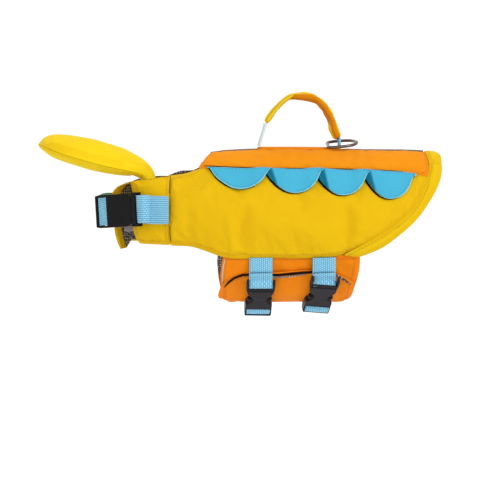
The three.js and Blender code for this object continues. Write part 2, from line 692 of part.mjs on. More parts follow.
function floatLayer(heightOf) {
  return FLOAT.map((row, i) => {
    const before = FLOAT[Math.max(i - 1, 0)]
    const after = FLOAT[Math.min(i + 1, FLOAT.length - 1)]
    const length = Math.hypot(after.x - before.x, after.z - before.z)
    const up = [-(after.z - before.z) / length, (after.x - before.x) / length]
    return FLOAT_ACROSS.map((share) => {
      const full = Math.sqrt(Math.max(0, 1 - Math.abs(share) ** 3.4))
      const out = heightOf(row, full)
      return new THREE.Vector3(row.x + up[0] * out, row.half * share, row.z + up[1] * out)
    })
  })
}
add('chin_float_top', between(floatLayer((row, full) => 0.2 + 0.5 + row.up * full), floatLayer(() => 0.2)),
  'yellow')
add('chin_float_base', between(floatLayer(() => -0.2),
  floatLayer((row, full) => -0.2 - 0.5 - row.down * full)), 'yellow')

// Belly
const bellyPad = (edges, [inner,
  full]) => (node) => inner + 1 + (full - inner - 1) * rounded(toOutline(node, edges), 9)
const underNodes = patch(UNDER_FLAP, 12, [3])
add('belly_flap_under', slab(underNodes, () => BELLY.under[0], bellyPad(UNDER_FLAP, BELLY.under)), 'orange')
add('belly_flap_over', slab(patch(OVER_FLAP, 12, [3]), () => BELLY.over[0],
  bellyPad(OVER_FLAP, BELLY.over)), 'orange')
add('belly_lining', slab(patch(UNDER_FLAP, 16, []), () => 0, () => BELLY.lining), 'mesh')

// Buckles and straps
function addBuckle(name, kind, matrix, colour) {
  add(`${name}_buckle_male`, maleBuckle(kind).applyMatrix4(matrix), colour)
  add(`${name}_buckle_female`, femaleBuckle(kind).applyMatrix4(matrix), colour)
}

function addStrap(name, points, side) {
  add(name, webbing(points, points.map(() => side), BELLY_WEBBING), 'webbing')
}

for (const row of BELLY_BUCKLES) {
  const from = new THREE.Vector3(row.x, ...row.from)
  const to = new THREE.Vector3(row.x + row.lean, ...row.to)
  const matrix = placing(from, to, TAILWARD)
  addBuckle(`belly_${row.name}`, BELLY_BUCKLE, matrix, 'grey')
  const local = (point) => point.clone().applyMatrix4(matrix)
  const side = new THREE.Vector3().setFromMatrixColumn(matrix, 1)
  const onLeft = [[-113.4, 5.6], [-118, 6.2], [-124, 8.6], [-130, 9.9]].map(([z, out]) => {
    const place = seen(row.x + 3, z)
    return over(row.x, place.turn, out)
  })
  const upper = LOOP.map(local)
  const tailEnd = over(row.x, seen(row.x + 3, -127).turn, 12.8)
  addStrap(`belly_strap_${row.name}_left`, [...onLeft, ...upper.reverse(), tailEnd], side)
  const farOut = [[-114.2, 9.8], [-120, 10.6], [-131, 11.3], [-143, 12.4]].map(([z, out]) =>
    over(row.x, 2 * Math.PI - seen(row.x + 3, z).turn, out))
  const lower = throughLadder(BELLY_BUCKLE.long).map(local).reverse()
  const low = row.to[1]
  const slack = [new THREE.Vector3(row.x + row.lean, 24, low + 5),
    new THREE.Vector3(row.x + row.lean, 8, low - 0.6)]
  addStrap(`belly_strap_${row.name}_right`, [...farOut, ...slack, ...lower], side)
}

const neckMatrix = placing(NECK_FROM, NECK_TO, DOWN)
addBuckle('neck', NECK_BUCKLE, neckMatrix, 'black')
const onNeck = (x, out) => over(x, farPlace(x, -57).turn, out)
const neckSide = new THREE.Vector3().setFromMatrixColumn(neckMatrix, 1)
const neckLoop = LOOP.map((point) => point.clone().applyMatrix4(neckMatrix)).reverse()
const underEnd = [onNeck(-142.4, 10.2), onNeck(-151, 10.2), onNeck(-161, 10.5)]
const overEnd = [onNeck(-161, 13.4), onNeck(-151, 12.8), onNeck(-142.4, 12.7)]
add('neck_strap_left', webbing([...underEnd, ...neckLoop, ...overEnd],
  [...underEnd.map(() => DOWN), ...neckLoop.map(() => neckSide), ...overEnd.map(() => DOWN)], NECK_WEBBING),
    'webbing')
const farNeck = (x, out) => {
  const point = onNeck(x, out)
  point.y *= -1
  return point
}
const neckLadder = throughLadder(NECK_BUCKLE.long).map((point) => point.applyMatrix4(neckMatrix))
const farEnd = [new THREE.Vector3(-218.8, 6, -60.6), farNeck(-205, 12.2), farNeck(-196, 11),
  farNeck(-180, 10.2),
  farNeck(-165, 10.2), farNeck(-149, 10.2)]
add('neck_strap_right', webbing([...neckLadder, ...farEnd],
  [...neckLadder.map(() => neckSide), ...farEnd.map(() => DOWN)], NECK_WEBBING), 'webbing')

// Handle: two webbing legs and a cloth grip that twists toward the tail
const HANDLE = [
  { x: -45.6, z: 8.7, twist: 0 },
  { x: -43.4, z: 16, twist: 0 },
  { x: -40.6, z: 25, twist: 0 },
  { x: -38.4, z: 33.2, twist: 2 },
  { x: -35.4, z: 40.6, twist: 4 },
  { x: -28, z: 51, twist: 4 },
  { x: -17.8, z: 59.4, twist: 4 },
  { x: -5.6, z: 63, twist: -7 },
  { x: 4.6, z: 63.2, twist: -9 },
  { x: 15.4, z: 60.6, twist: -10 },
  { x: 24.6, z: 54.6, twist: -10 },
  { x: 31.2, z: 45.8, twist: -10 },
  { x: 35.8, z: 35.4, twist: -10 },
  { x: 38.8, z: 26, twist: -8 },
  { x: 40.6, z: 17.6, twist: -4 },
  { x: 41.3, z: 12.8, twist: 0 },
  { x: 41.4, z: 8.7, twist: 0 }
]
const LEG = { wide: 25, thick: 2.4 }
const GRIP = { wide: 30, thick: 6.4 }

function handlePart(from, to, size, profile, per) {
  const curve = new THREE.CatmullRomCurve3(HANDLE.map(({ x, z }) => new THREE.Vector3(x, 0, z)), false,
    'centripetal')
  const last = HANDLE.length - 1
  const stations = []
  const steps = Math.round((to - from) * per)
  for (let i = 0; i <= steps; i += 1) {
    const t = from + (to - from) * i / steps
    const k = Math.min(last - 1, Math.floor(t))
    const twist = (HANDLE[k].twist + (HANDLE[k + 1].twist - HANDLE[k].twist) * (t - k)) * Math.PI / 180
    const at = curve.getPoint(t / last)
    const tangent = curve.getTangent(t / last)
    const level = new THREE.Vector3(0, 1, 0)
    const out = tangent.clone().cross(level).normalize()
    const end = Math.min(1, 0.55 + 0.9 * Math.min(t - from, to - t))
    const tall = size.thick * (profile === SOFT ? end : 1)
    stations.push({
      at, side: level.clone().applyAxisAngle(tangent, twist), out: out.applyAxisAngle(tangent, twist),
        wide: size.wide, thick: tall
    })
  }
  return sweep(stations, profile)
}
add('handle_leg_front', handlePart(0, 2.96, LEG, FLAT, 3), 'webbing')
add('handle_grip', handlePart(3, 13.92, GRIP, SOFT, 2), 'yellow')
add('handle_leg_rear', handlePart(14, 16, LEG, FLAT, 3), 'webbing')

// Leash ring: a D of steel wire loose round the rear leg, with its straight bar toward the head
const RING = { wire: 3.6, bar: 29, rear: 60.4, half: 18.6, low: 9.6, rise: 2.8 }
function ringLine() {
  const points = []
  const bend = 6
  for (const s of [-1, -0.33, 0.33, 1]) points.push([RING.bar, s * (RING.half - bend)])
  points.push([RING.bar + 1.8, RING.half - 1.8], [RING.bar + bend, RING.half])
  for (let i = 0; i <= 10; i += 1) {
    const a = Math.PI / 2 - Math.PI * i / 10
    points.push([RING.rear - RING.half + 4 + (RING.half - 4) * Math.cos(a), RING.half * Math.sin(a)])
  }
  points.push([RING.bar + bend, -RING.half], [RING.bar + 1.8, -RING.half + 1.8])
  return points.map(([x, y]) => new THREE.Vector3(x, y,
    RING.low + RING.rise * (x - RING.bar) / (RING.rear - RING.bar)))
}
const ringCurve = new THREE.CatmullRomCurve3(ringLine(), true, 'centripetal')
const ringStations = []
for (let i = 0; i < 36; i += 1) {
  const tangent = ringCurve.getTangentAt(i / 36)
  const flat = tangent.clone().cross(UP).normalize()
  ringStations.push({ at: ringCurve.getPointAt(i / 36), side: flat, out: tangent.clone().cross(flat),
    wide: RING.wire,
    thick: RING.wire })
}
add('leash_ring', sweep(ringStations, round(8), true), 'steel', 1)

export default group
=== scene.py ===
import math

import bmesh
import bpy
import numpy as np
from mathutils import Matrix, Vector, noise
from mathutils.bvhtree import BVHTree
from mathutils.kdtree import KDTree


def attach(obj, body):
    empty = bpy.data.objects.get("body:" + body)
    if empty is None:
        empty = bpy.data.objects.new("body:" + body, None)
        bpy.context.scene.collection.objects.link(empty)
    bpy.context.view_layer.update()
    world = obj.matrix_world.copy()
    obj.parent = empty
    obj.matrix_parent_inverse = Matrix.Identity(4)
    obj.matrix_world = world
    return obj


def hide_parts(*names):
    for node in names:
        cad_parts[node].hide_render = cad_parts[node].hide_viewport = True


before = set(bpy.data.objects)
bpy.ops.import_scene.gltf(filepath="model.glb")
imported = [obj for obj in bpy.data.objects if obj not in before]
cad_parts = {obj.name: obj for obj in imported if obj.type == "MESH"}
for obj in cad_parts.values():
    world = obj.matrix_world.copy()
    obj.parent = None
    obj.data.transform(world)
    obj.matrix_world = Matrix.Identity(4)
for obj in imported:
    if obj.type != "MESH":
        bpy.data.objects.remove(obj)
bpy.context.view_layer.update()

# Real sizes, in metres
MM = 0.001
THREAD = 0.55 * MM
STITCH = 2.9 * MM
STITCH_GAP = 1.1 * MM
WEAVE = 0.85 * MM
RIB = 2.3 * MM
TICK = 2.0 * MM
MESH_CELL = 3.1 * MM
AXIS_HEIGHT = -0.076
STITCH_INSET = 3.5 * MM
STRIP_LIFT = 0.1 * MM
SHARP = math.radians(42)
PAD_RIM_HOLD = 0.62
PUFF_FRAMES = 20
CLOTH_SHEEN = 0.1
CLOTH_GLOSS = 0.1

# What the picture takes in
PICTURE_WIDE = 0.5184
LOOK_AT = Vector((-0.0659, 0.0, -0.0929))
CAMERA_AWAY = 12.0
CAMERA_AHEAD = math.radians(3)
CAMERA_ABOVE = math.radians(3)
SENSOR = 36.0
PIXELS = 480
TOWARD_CAMERA = Vector((-math.sin(CAMERA_AHEAD) * math.cos(CAMERA_ABOVE),
                        -math.cos(CAMERA_AHEAD) * math.cos(CAMERA_ABOVE), math.sin(CAMERA_ABOVE)))
EYE = LOOK_AT + TOWARD_CAMERA * CAMERA_AWAY
PICTURE_RIGHT = (-TOWARD_CAMERA).cross(Vector((0.0, 0.0, 1.0))).normalized()
PICTURE_UP = PICTURE_RIGHT.cross(-TOWARD_CAMERA).normalized()


def sight(across, down):
    """The line of sight through a place in the picture."""
    pixel = PICTURE_WIDE / PIXELS
    aim = LOOK_AT + PICTURE_RIGHT * (across - PIXELS / 2) * pixel + PICTURE_UP * (PIXELS / 2 - down) * pixel
    return (aim - EYE).normalized()


def placed(across, down):
    """Where a place in the picture lies on the wearer's middle plane."""
    line = sight(across, down)
    return EYE + line * (-EYE.y / line.y)


def in_picture(point):
    """Where a point is seen in the picture."""
    line = Vector(point) - EYE
    line *= CAMERA_AWAY / line.dot(-TOWARD_CAMERA)
    pixel = PICTURE_WIDE / PIXELS
    return PIXELS / 2 + line.dot(PICTURE_RIGHT) / pixel, PIXELS / 2 - line.dot(PICTURE_UP) / pixel


class Value:
    """A shader socket that can be worked with as a number."""

    def __init__(self, finish, socket):
        self.finish = finish
        self.socket = socket

    def math(self, operation, *others, clamp=False):
        inputs = {i: v for i, v in enumerate((self, *others))}
        return self.finish.node("ShaderNodeMath", inputs, operation=operation, use_clamp=clamp)

    def __add__(self, other):
        return self.math("ADD", other)

    __radd__ = __add__

    def __sub__(self, other):
        return self.math("SUBTRACT", other)

    def __rsub__(self, other):
        return self.finish.number(other).math("SUBTRACT", self)

    def __mul__(self, other):
        return self.math("MULTIPLY", other)

    __rmul__ = __mul__

    def __truediv__(self, other):
        return self.math("DIVIDE", other)

    def sine(self):
        return self.math("SINE")

    def part(self):
        return self.math("FRACT")

    def whole(self):
        return self.math("FLOOR")

    def clamped(self):
        return self.math("ADD", 0.0, clamp=True)

    def between(self, low, high):
        inputs = {"Value": self, "From Min": low, "From Max": high}
        return self.finish.node("ShaderNodeMapRange", inputs, interpolation_type="SMOOTHSTEP")


class Finish:
    """A material, built from expressions."""

    def __init__(self, name):
        self.material = bpy.data.materials.new(name)
        self.material.use_nodes = True
        self.tree = self.material.node_tree
        self.shader = self.tree.nodes["Principled BSDF"]
        self.place = self.node("ShaderNodeTexCoord", output="Object")

    def node(self, kind, inputs=None, output=0, **settings):
        made = self.tree.nodes.new(kind)
        for key, value in settings.items():
            setattr(made, key, value)
        for key, value in (inputs or {}).items():
            if isinstance(value, Value):
                self.tree.links.new(value.socket, made.inputs[key])
            else:
                made.inputs[key].default_value = value
        return Value(self, made.outputs[output])

    def number(self, value):
        made = self.tree.nodes.new("ShaderNodeValue")
        made.outputs[0].default_value = value
        return Value(self, made.outputs[0])

    def cloth_place(self):
        """Along, across and distance in from the edge, in metres."""
        where = self.node("ShaderNodeAttribute", output="Vector", attribute_name="cloth")
        parts = self.tree.nodes.new("ShaderNodeSeparateXYZ")
        self.tree.links.new(where.socket, parts.inputs[0])
        return [Value(self, socket) for socket in parts.outputs]

    def cloud(self, scale, detail=3.0, roughness=0.55, where=None):
        inputs = {"Vector": where or self.place, "Scale": scale, "Detail": detail, "Roughness": roughness}
        return self.node("ShaderNodeTexNoise", inputs, noise_dimensions="3D")

    def mix(self, share, first, second):
        made = self.tree.nodes.new("ShaderNodeMix")
        made.data_type = "RGBA"
        for index, value in ((0, share), (6, first), (7, second)):
            if isinstance(value, Value):
                self.tree.links.new(value.socket, made.inputs[index])
            else:
                made.inputs[index].default_value = value if index == 0 else (*value, 1.0)
        return Value(self, made.outputs[2])

    def bump(self, height, distance, strength=1.0, under=None):
        inputs = {"Height": height, "Distance": distance, "Strength": strength}
        if under is not None:
            inputs["Normal"] = under
        return self.node("ShaderNodeBump", inputs)

    def weave(self, along, across, thread=WEAVE):
        return (along * (2 * math.pi / thread)).sine() * (across * (2 * math.pi / thread)).sine()

    def cloth_relief(self, weave, slubs, soft, thread_height, roll_height, roll_strength):
        """Threads and slubs over the soft rolls of the cloth."""
        fine = self.bump(weave + (slubs - 0.5) * 1.2, thread_height, 0.5)
        return self.bump(soft, roll_height, roll_strength, fine)

    def wear_cloth(self, colours, sheen, slubs, relief, roughness, gloss=CLOTH_GLOSS):
        return self.wear(Base_Color=colours, Roughness=roughness + (slubs - 0.5) * 0.2, Normal=relief,
                         Sheen_Weight=CLOTH_SHEEN, Sheen_Roughness=0.45, Sheen_Tint=sheen,
                         Specular_IOR_Level=gloss)

    def wear(self, **values):
        for key, value in values.items():
            socket = self.shader.inputs[key.replace("_", " ")]
            if isinstance(value, Value):
                self.tree.links.new(value.socket, socket)
            else:
                socket.default_value = (*value, 1.0) if isinstance(value, tuple) else value
        return self.material


def tint(red, green, blue):
    """Linear colour from the 0 to 255 values of a screen."""
    shares = [c / 255 for c in (red, green, blue)]
    return tuple(((c + 0.055) / 1.055) ** 2.4 if c > 10 / 255 else c / 12.92 for c in shares)


def woven_cloth(name, colour, shade, thread=WEAVE):
    """Plain woven cloth, painted darker toward its seams as shade, and worn along its rim."""
    finish = Finish(name)
    along, across, edge = finish.cloth_place()
    weave = finish.weave(along, across, thread)
    slubs = finish.cloud(900.0, 2.0)
    soft = finish.cloud(34.0, 4.0, 0.6)
    broad = finish.cloud(9.0, 2.0)
    tone = (soft - 0.5) * 0.6 + (broad - 0.5) * 0.5 + (slubs - 0.5) * 0.5 + weave * 0.10 + 0.42
    worn_rim = 1.0 - edge.between(0.2 * MM, 2.2 * MM)
    # painted shade: near its seams the cloth is drawn toward its shade colour
    seam = edge.between(1.2 * MM, 6.0 * MM)
    colours = finish.mix((tone * 0.75 + (1.0 - seam) * 0.34 - worn_rim * 0.12).clamped(), colour, shade)
    relief = finish.cloth_relief(weave, slubs, soft, 0.16 * MM, 1.4 * MM, 0.3)
    return finish.wear_cloth(colours, colour, slubs, relief, 0.72)


def scallop_cloth(name, colour, shade, painted_fold_shade, rim_colour):
    """Smooth blue cloth, painted deeper teal as shade where it is folded under, with a pale pressed rim."""
    finish = Finish(name)
    along, across, edge = finish.cloth_place()
    fold = finish.node("ShaderNodeAttribute", output="Fac", attribute_name="fold")
    weave = finish.weave(along, across)
    slubs = finish.cloud(1000.0, 2.0)
    soft = finish.cloud(40.0, 3.0)
    plain = finish.mix((soft * 0.7 + (slubs - 0.5) * 0.4 + weave * 0.08).clamped(), colour, shade)
    # painted shade: ahead of the fold line, where the scallop is folded under, it is painted deeper teal
    under = fold.between(-1.8 * MM, 1.2 * MM)
    rim = (1.0 - edge.between(0.4 * MM, 1.3 * MM)) * (1.0 - under)
    colours = finish.mix(rim * 0.75, finish.mix(under, plain, painted_fold_shade), rim_colour)
    relief = finish.cloth_relief(weave, slubs, soft, 0.14 * MM, 1.0 * MM, 0.3)
    return finish.wear_cloth(colours, colour, slubs, relief, 0.68, gloss=0.12)


def grip_cloth(name, colour, shade, inner, deep, seam_colour):
    """The handle's cloth: yellow outside, and on the inner face an amber painted as the shade there, with a
    seam along each edge of the front arm.
    """
    finish = Finish(name)
    along, across, inside = finish.cloth_place()
    seam = finish.node("ShaderNodeAttribute", output="Fac", attribute_name="seam")
    weave = finish.weave(along, across)
    slubs = finish.cloud(900.0, 2.0)
    soft = finish.cloud(70.0, 3.0)
    plain = finish.mix((soft * 0.8 + (slubs - 0.5) * 0.5).clamped(), colour, shade)
    # painted shade: the inner face is painted amber, deeper further into the face
    within = (inside + (soft - 0.5) * 0.16).between(0.28, 0.5)
    amber = finish.mix(((inside - 0.45) * 1.1 + (soft - 0.5) * 1.1).clamped(), inner, deep)
    colours = finish.mix(seam.between(0.35, 0.75) * 0.8, finish.mix(within, plain, amber), seam_colour)
    relief = finish.cloth_relief(weave, slubs, soft, 0.16 * MM, 1.4 * MM, 0.5)
    return finish.wear_cloth(colours, colour, slubs, relief, 0.7)


def ribbed_webbing(name, colour, pale, deep):
    """Ribs along the webbing, each with a row of pale floats staggered against the next."""
    finish = Finish(name)
    along, across, edge = finish.cloth_place()
    row = (across / RIB).whole()
    shift = (row * 0.5).part()
    step = (across / RIB).part() - 0.5
    cell = (along / TICK + shift).part() - 0.5
    tick = 1.0 - (cell * cell * 3.0 + step * step * 3.4).math("SQRT").between(0.25, 0.8)
    valley = 1.0 - (step * step * 4.0).between(0.5, 1.0)
    speck = finish.cloud(1200.0, 2.0)
    soft = finish.cloud(60.0, 3.0)
    ground = finish.mix((soft * 0.5 + (1.0 - valley) * 0.5).clamped(), colour, deep)
    colours = finish.mix((tick * (0.3 + speck * 0.9)).clamped(), ground, pale)
    height = tick * 0.8 + valley * 0.5 + (speck - 0.5) * 0.35
    return finish.wear(Base_Color=colours, Roughness=0.6, Normal=finish.bump(height, 0.6 * MM, 0.8),
                       Sheen_Weight=0.15, Specular_IOR_Level=0.4)


def air_mesh(name, colour, pale, thick_thread):
    """Knitted spacer mesh, with open cells that let the pale backing show."""
    finish = Finish(name)
    along, across, edge = finish.cloth_place()
    flat = finish.node("ShaderNodeCombineXYZ", {0: along, 1: across, 2: 0.0})
    inputs = {"Vector": flat, "Scale": 1.0 / MESH_CELL, "Randomness": 0.4}
    away = finish.node("ShaderNodeTexVoronoi", inputs, output="Distance", voronoi_dimensions="2D")
    patchy = finish.cloud(160.0, 2.0)
    hole = 1.0 - away.between(0.16, 0.34)
    speck = finish.cloud(1500.0, 2.0)
    strand = away.between(0.3, 0.5) * (0.4 + speck)
    ground = finish.mix((strand * 0.5).clamped(), colour, thick_thread)
    colours = finish.mix((hole * (0.35 + patchy)).clamped(), ground, pale)
    relief = finish.bump(strand - hole * 0.8, 0.6 * MM, 0.9)
    return finish.wear(Base_Color=colours, Roughness=0.6, Normal=relief, Specular_IOR_Level=0.45)


def brushed_tab(name, colour, shade):
    finish = Finish(name)
    fuzz = finish.cloud(2600.0, 3.0, 0.7)
    soft = finish.cloud(120.0, 2.0)
    colours = finish.mix(fuzz * 0.6 + soft * 0.4, shade, colour)
    relief = finish.bump(fuzz, 0.5 * MM, 0.8)
    return finish.wear(Base_Color=colours, Roughness=0.9, Sheen_Weight=0.4, Normal=relief)


def moulded_plastic(name, colour, worn, gloss):
    finish = Finish(name)
    grain = finish.cloud(1800.0, 2.0)
    scuff = finish.cloud(90.0, 5.0, 0.7).between(0.55, 0.78)
    corner = finish.node("ShaderNodeNewGeometry", output="Pointiness").between(0.52, 0.6)
    colours = finish.mix((corner * 0.5 + scuff * 0.2).clamped(), colour, worn)
    return finish.wear(Base_Color=colours, Roughness=gloss + grain * 0.12 + scuff * 0.12,
                       Specular_IOR_Level=0.14, Normal=finish.bump(grain, 0.05 * MM, 0.5))


def steel_wire(name):
    finish = Finish(name)
    stain = finish.cloud(140.0, 4.0)
    lines = finish.cloud(700.0, 3.0)
    colours = finish.mix(stain, (0.24, 0.20, 0.17), (0.07, 0.055, 0.05))
    return finish.wear(Base_Color=colours, Metallic=1.0, Roughness=0.22 + lines * 0.2,
                       Normal=finish.bump(lines, 0.03 * MM, 0.5))


def sewing_thread(name, colour):
    finish = Finish(name)
    twist = finish.cloud(3500.0, 1.0)
    return finish.wear(Base_Color=finish.mix(twist, colour, tuple(c * 0.7 for c in colour)), Roughness=0.5,
                       Normal=finish.bump(twist, 0.08 * MM, 0.6))


YELLOW = woven_cloth("yellow_cloth", tint(233, 189, 8), tint(212, 162, 5))
# painted light: a lighter copy of the yellow cloth for the tail band, which faces the key light
LIT_BAND_YELLOW = woven_cloth("tail_band_lit_cloth", tint(236, 199, 10), tint(216, 170, 6))
# painted light: a lighter copy of the yellow cloth for the whole chin float, for the light on its top
LIT_FLOAT_YELLOW = woven_cloth("float_lit_cloth", tint(244, 212, 22), tint(228, 184, 10))
ORANGE = woven_cloth("orange_cloth", tint(241, 153, 14), tint(226, 126, 8))
# painted shade: a deeper copy of the orange cloth for the belly flaps, which face down
SHADED_BELLY_ORANGE = woven_cloth("belly_shaded_orange_cloth", tint(248, 142, 14), tint(228, 116, 8))
# Scallop colours: plain, plain deeper, the deep teal painted as shade on the folded-under parts, and the rim
BLUE = scallop_cloth("blue_cloth", tint(74, 180, 212), tint(60, 162, 196), tint(6, 112, 140),
                     tint(176, 214, 204))
# Handle colours: yellow outside, then the amber and deeper amber painted as shade on the inner face, then the
# seams
GRIP = grip_cloth("handle_cloth", tint(240, 206, 22), tint(222, 180, 10), tint(222, 142, 4), tint(186, 104, 2),
                  tint(140, 104, 10))
# Near-black cloth for the neck's dark seam lines, and for painted shadows: the belly slit, the back seam and
# under the scallops
DARK_SEAM_AND_SHADOW_CLOTH = woven_cloth("dark_seam_and_shadow_cloth", tint(26, 16, 10), tint(12, 8, 6), 0.5 * MM)
WEBBING = ribbed_webbing("light_blue_webbing", tint(114, 190, 222), tint(184, 228, 242), tint(70, 152, 198))
SELVEDGE = ribbed_webbing("pale_webbing", tint(214, 236, 240), tint(232, 246, 247), tint(186, 216, 224))
MESH = air_mesh("dark_air_mesh", tint(40, 30, 26), tint(196, 184, 174), (0.11, 0.09, 0.08))
SPINE_MESH = air_mesh("spine_air_mesh", tint(58, 42, 30), tint(146, 120, 96), (0.13, 0.09, 0.06))
PALE_MESH = air_mesh("grey_edge_mesh", tint(126, 118, 112), tint(220, 214, 208), (0.3, 0.27, 0.25))
BINDING = woven_cloth("cream_binding", tint(214, 204, 176), tint(178, 160, 126), 0.5 * MM)
TAB = brushed_tab("grey_tab", tint(176, 160, 170), tint(136, 120, 130))
BLACK = moulded_plastic("black_plastic", tint(4, 4, 6), tint(26, 26, 30), 0.3)
GREY = moulded_plastic("dark_grey_plastic", tint(32, 30, 36), tint(58, 54, 62), 0.34)
STEEL = steel_wire("ring_steel")
YELLOW_THREAD = sewing_thread("yellow_thread", tint(206, 156, 8))
ORANGE_THREAD = sewing_thread("orange_thread", tint(214, 118, 12))
TEAL_THREAD = sewing_thread("teal_thread", tint(60, 158, 190))


def linked(name, mesh):
    piece = bpy.data.objects.new(name, mesh)
    bpy.context.scene.collection.objects.link(piece)
    return piece


def from_axis(point):
    """Straight out from the middle of the wearer's trunk."""
    return Vector((0.0, point.y, point.z - AXIS_HEIGHT)).normalized()


def welded(node):
    """A clean copy of a solid's mesh, with its facets joined back into quads."""
    work = bmesh.new()
    work.from_mesh(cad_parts[node].data)
    bmesh.ops.remove_doubles(work, verts=work.verts, dist=1e-5)
    bmesh.ops.join_triangles(work, faces=work.faces, angle_face_threshold=0.7, angle_shape_threshold=1.4)
    return work


def rim_loops(work, out_of):
    """The outline of the side that faces out, as loops of (vertex, normal)."""
    work.normal_update()
    outer = {f for f in work.faces if f.normal.dot(out_of(f.calc_center_median())) > 0.42}
    steps = {}
    for face in outer:
        for loop in face.loops:
            others = [f for f in loop.edge.link_faces if f is not face]
            if all(f not in outer for f in others):
                steps[loop.vert] = (loop.link_loop_next.vert, face.normal.copy())
    loops = []
    while steps:
        start = next(iter(steps))
        here = start
        line = []
        while here in steps:
            there, normal = steps.pop(here)
            line.append((here, normal))
            here = there
        loops.append(line)
    return sorted(loops, key=len, reverse=True)


def outer_loops(work, out_of=from_axis):
    return [[(vert.co.copy(), normal) for vert, normal in line] for line in rim_loops(work, out_of)]


def let_out(work, out_of, reach):
    """Moves the outline out by what the rounding of its rim takes in."""
    line = rim_loops(work, out_of)[0]
    moves = []
    for i, (vert, normal) in enumerate(line):
        tangent = (line[(i + 1) % len(line)][0].co - line[i - 1][0].co).normalized()
        moves.append(normal.cross(tangent).normalized() * -reach(vert.co))
    for (vert, _), move in zip(line, moves):
        vert.co += move


def refined(work, name, levels, crease, out_of=None, inner=1.0):
    """Subdivided smoothly; the rims facing in and the corners are held more than those facing out."""
    holds = work.edges.layers.float.new("crease_edge")
    for edge in work.edges:
        if len(edge.link_faces) == 2 and edge.calc_face_angle(0.0) > SHARP:
            edge[holds] = crease
            if out_of:
                out = out_of((edge.verts[0].co + edge.verts[1].co) / 2)
                sides = [face.normal.dot(out) for face in edge.link_faces]
                edge[holds] = inner if min(sides) < -0.42 else crease
    mesh = bpy.data.meshes.new(name)
    work.to_mesh(mesh)
    piece = linked(name, mesh)
    smooth = piece.modifiers.new("fine", "SUBSURF")
    smooth.levels = smooth.render_levels = levels
    settle(piece)
    return piece


def settle(piece):
    """Applies every modifier."""
    graph = bpy.context.evaluated_depsgraph_get()
    mesh = bpy.data.meshes.new_from_object(piece.evaluated_get(graph), depsgraph=graph)
    piece.modifiers.clear()
    old = piece.data
    piece.data = mesh
    mesh.name = piece.name
    bpy.data.meshes.remove(old)


def points_of(piece):
    flat = np.empty(len(piece.data.vertices) * 3)
    piece.data.vertices.foreach_get("co", flat)
    return flat.reshape(-1, 3)


def normals_of(piece):
    flat = np.empty(len(piece.data.vertices) * 3)
    piece.data.vertices.foreach_get("normal", flat)
    return flat.reshape(-1, 3)


def put_points(piece, points):
    piece.data.vertices.foreach_set("co", points.ravel())
    piece.data.update()


def tree_of(*pieces):
    vertices = []
    faces = []
    for piece in pieces:
        first = len(vertices)
        vertices += [v.co.copy() for v in piece.data.vertices]
        faces += [tuple(first + i for i in p.vertices) for p in piece.data.polygons]
    return BVHTree.FromPolygons(vertices, faces)


def rim_tree(line):
    spots = []
    for (a, _), (b, _) in zip(line, line[1:] + line[:1]):
        count = max(1, round((b - a).length / (1.5 * MM)))
        spots += [a.lerp(b, i / count) for i in range(count)]
    tree = KDTree(len(spots))
    for i, spot in enumerate(spots):
        tree.insert(spot, i)
    tree.balance()
    return tree


def edge_distance(points, tree):
    return np.array([tree.find(point)[2] for point in points])


def girth(points):
    return np.arctan2(-points[:, 1], points[:, 2] - AXIS_HEIGHT) * 0.07


PLACES = {
    "body": lambda p: (p[:, 0], girth(p)),
    "round": lambda p: (girth(p), p[:, 0]),
    "float": lambda p: (p[:, 0] - p[:, 2] * 0.4, p[:, 1]),
    "neck": lambda p: (np.arctan2(p[:, 1], p[:, 0] + 0.15) * 0.064, p[:, 2]),
    "leg": lambda p: (p[:, 2], p[:, 1]),
}


def lay_out(piece, kind, tree=None):
    """Stores along, across and edge distance, which the weave follows and by which woven cloth is painted
    darker near its seams as shade.
    """
    points = points_of(piece)
    along, across = PLACES[kind](points)
    edge = edge_distance(points, tree) if tree else np.full(len(points), 0.01)
    layer = piece.data.attributes.new("cloth", "FLOAT_VECTOR", "POINT")
    layer.data.foreach_set("vector", np.stack([along, across, edge], axis=1).ravel())


def smooth_shaded(piece):
    piece.data.polygons.foreach_set("use_smooth", np.ones(len(piece.data.polygons), dtype=bool))
    piece.data.update()


def dressed(piece, body, slot, material, *nodes):
    piece.data.materials.clear()
    piece.data.materials.append(material)
    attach(piece, body)
    if nodes:
        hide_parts(*nodes)
    return piece


def wrinkle(point, scale, seed):
    return noise.noise(Vector(point) * scale + Vector((seed * 7.3, seed * 3.1, seed * 5.7)))


def puffed(piece, held, pressure, growth, cap):
    """Fills a pad out with Blender's cloth and keeps the result, within a cap."""
    before = points_of(piece)
    group = piece.vertex_groups.new(name="sewn")
    group.add([int(i) for i in np.nonzero(held)[0]], 1.0, "REPLACE")
    cloth = piece.modifiers.new("filling", "CLOTH")
    settings = cloth.settings
    settings.quality = 5
    settings.mass = 0.3
    settings.tension_stiffness = settings.compression_stiffness = 18
    settings.shear_stiffness = 5
    settings.bending_stiffness = 0.6
    settings.use_pressure = True
    settings.uniform_pressure_force = pressure
    settings.shrink_min = -growth
    settings.vertex_group_mass = "sewn"
    settings.effector_weights.gravity = 0.0
    cloth.collision_settings.use_collision = False
    cloth.collision_settings.use_self_collision = False
    cloth.point_cache.frame_start = 1
    cloth.point_cache.frame_end = PUFF_FRAMES
    scene = bpy.context.scene
    for number in range(1, PUFF_FRAMES + 1):
        scene.frame_set(number)
    graph = bpy.context.evaluated_depsgraph_get()
    mesh = bpy.data.meshes.new_from_object(piece.evaluated_get(graph), depsgraph=graph)
    flat = np.empty(len(mesh.vertices) * 3)
    mesh.vertices.foreach_get("co", flat)
    bpy.data.meshes.remove(mesh)
    moved = flat.reshape(-1, 3) - before
    far = np.linalg.norm(moved, axis=1, keepdims=True)
    piece.modifiers.clear()
    piece.vertex_groups.clear()
    scene.frame_set(1)
    put_points(piece, before + moved * np.minimum(1.0, cap / np.maximum(far, 1e-9)))
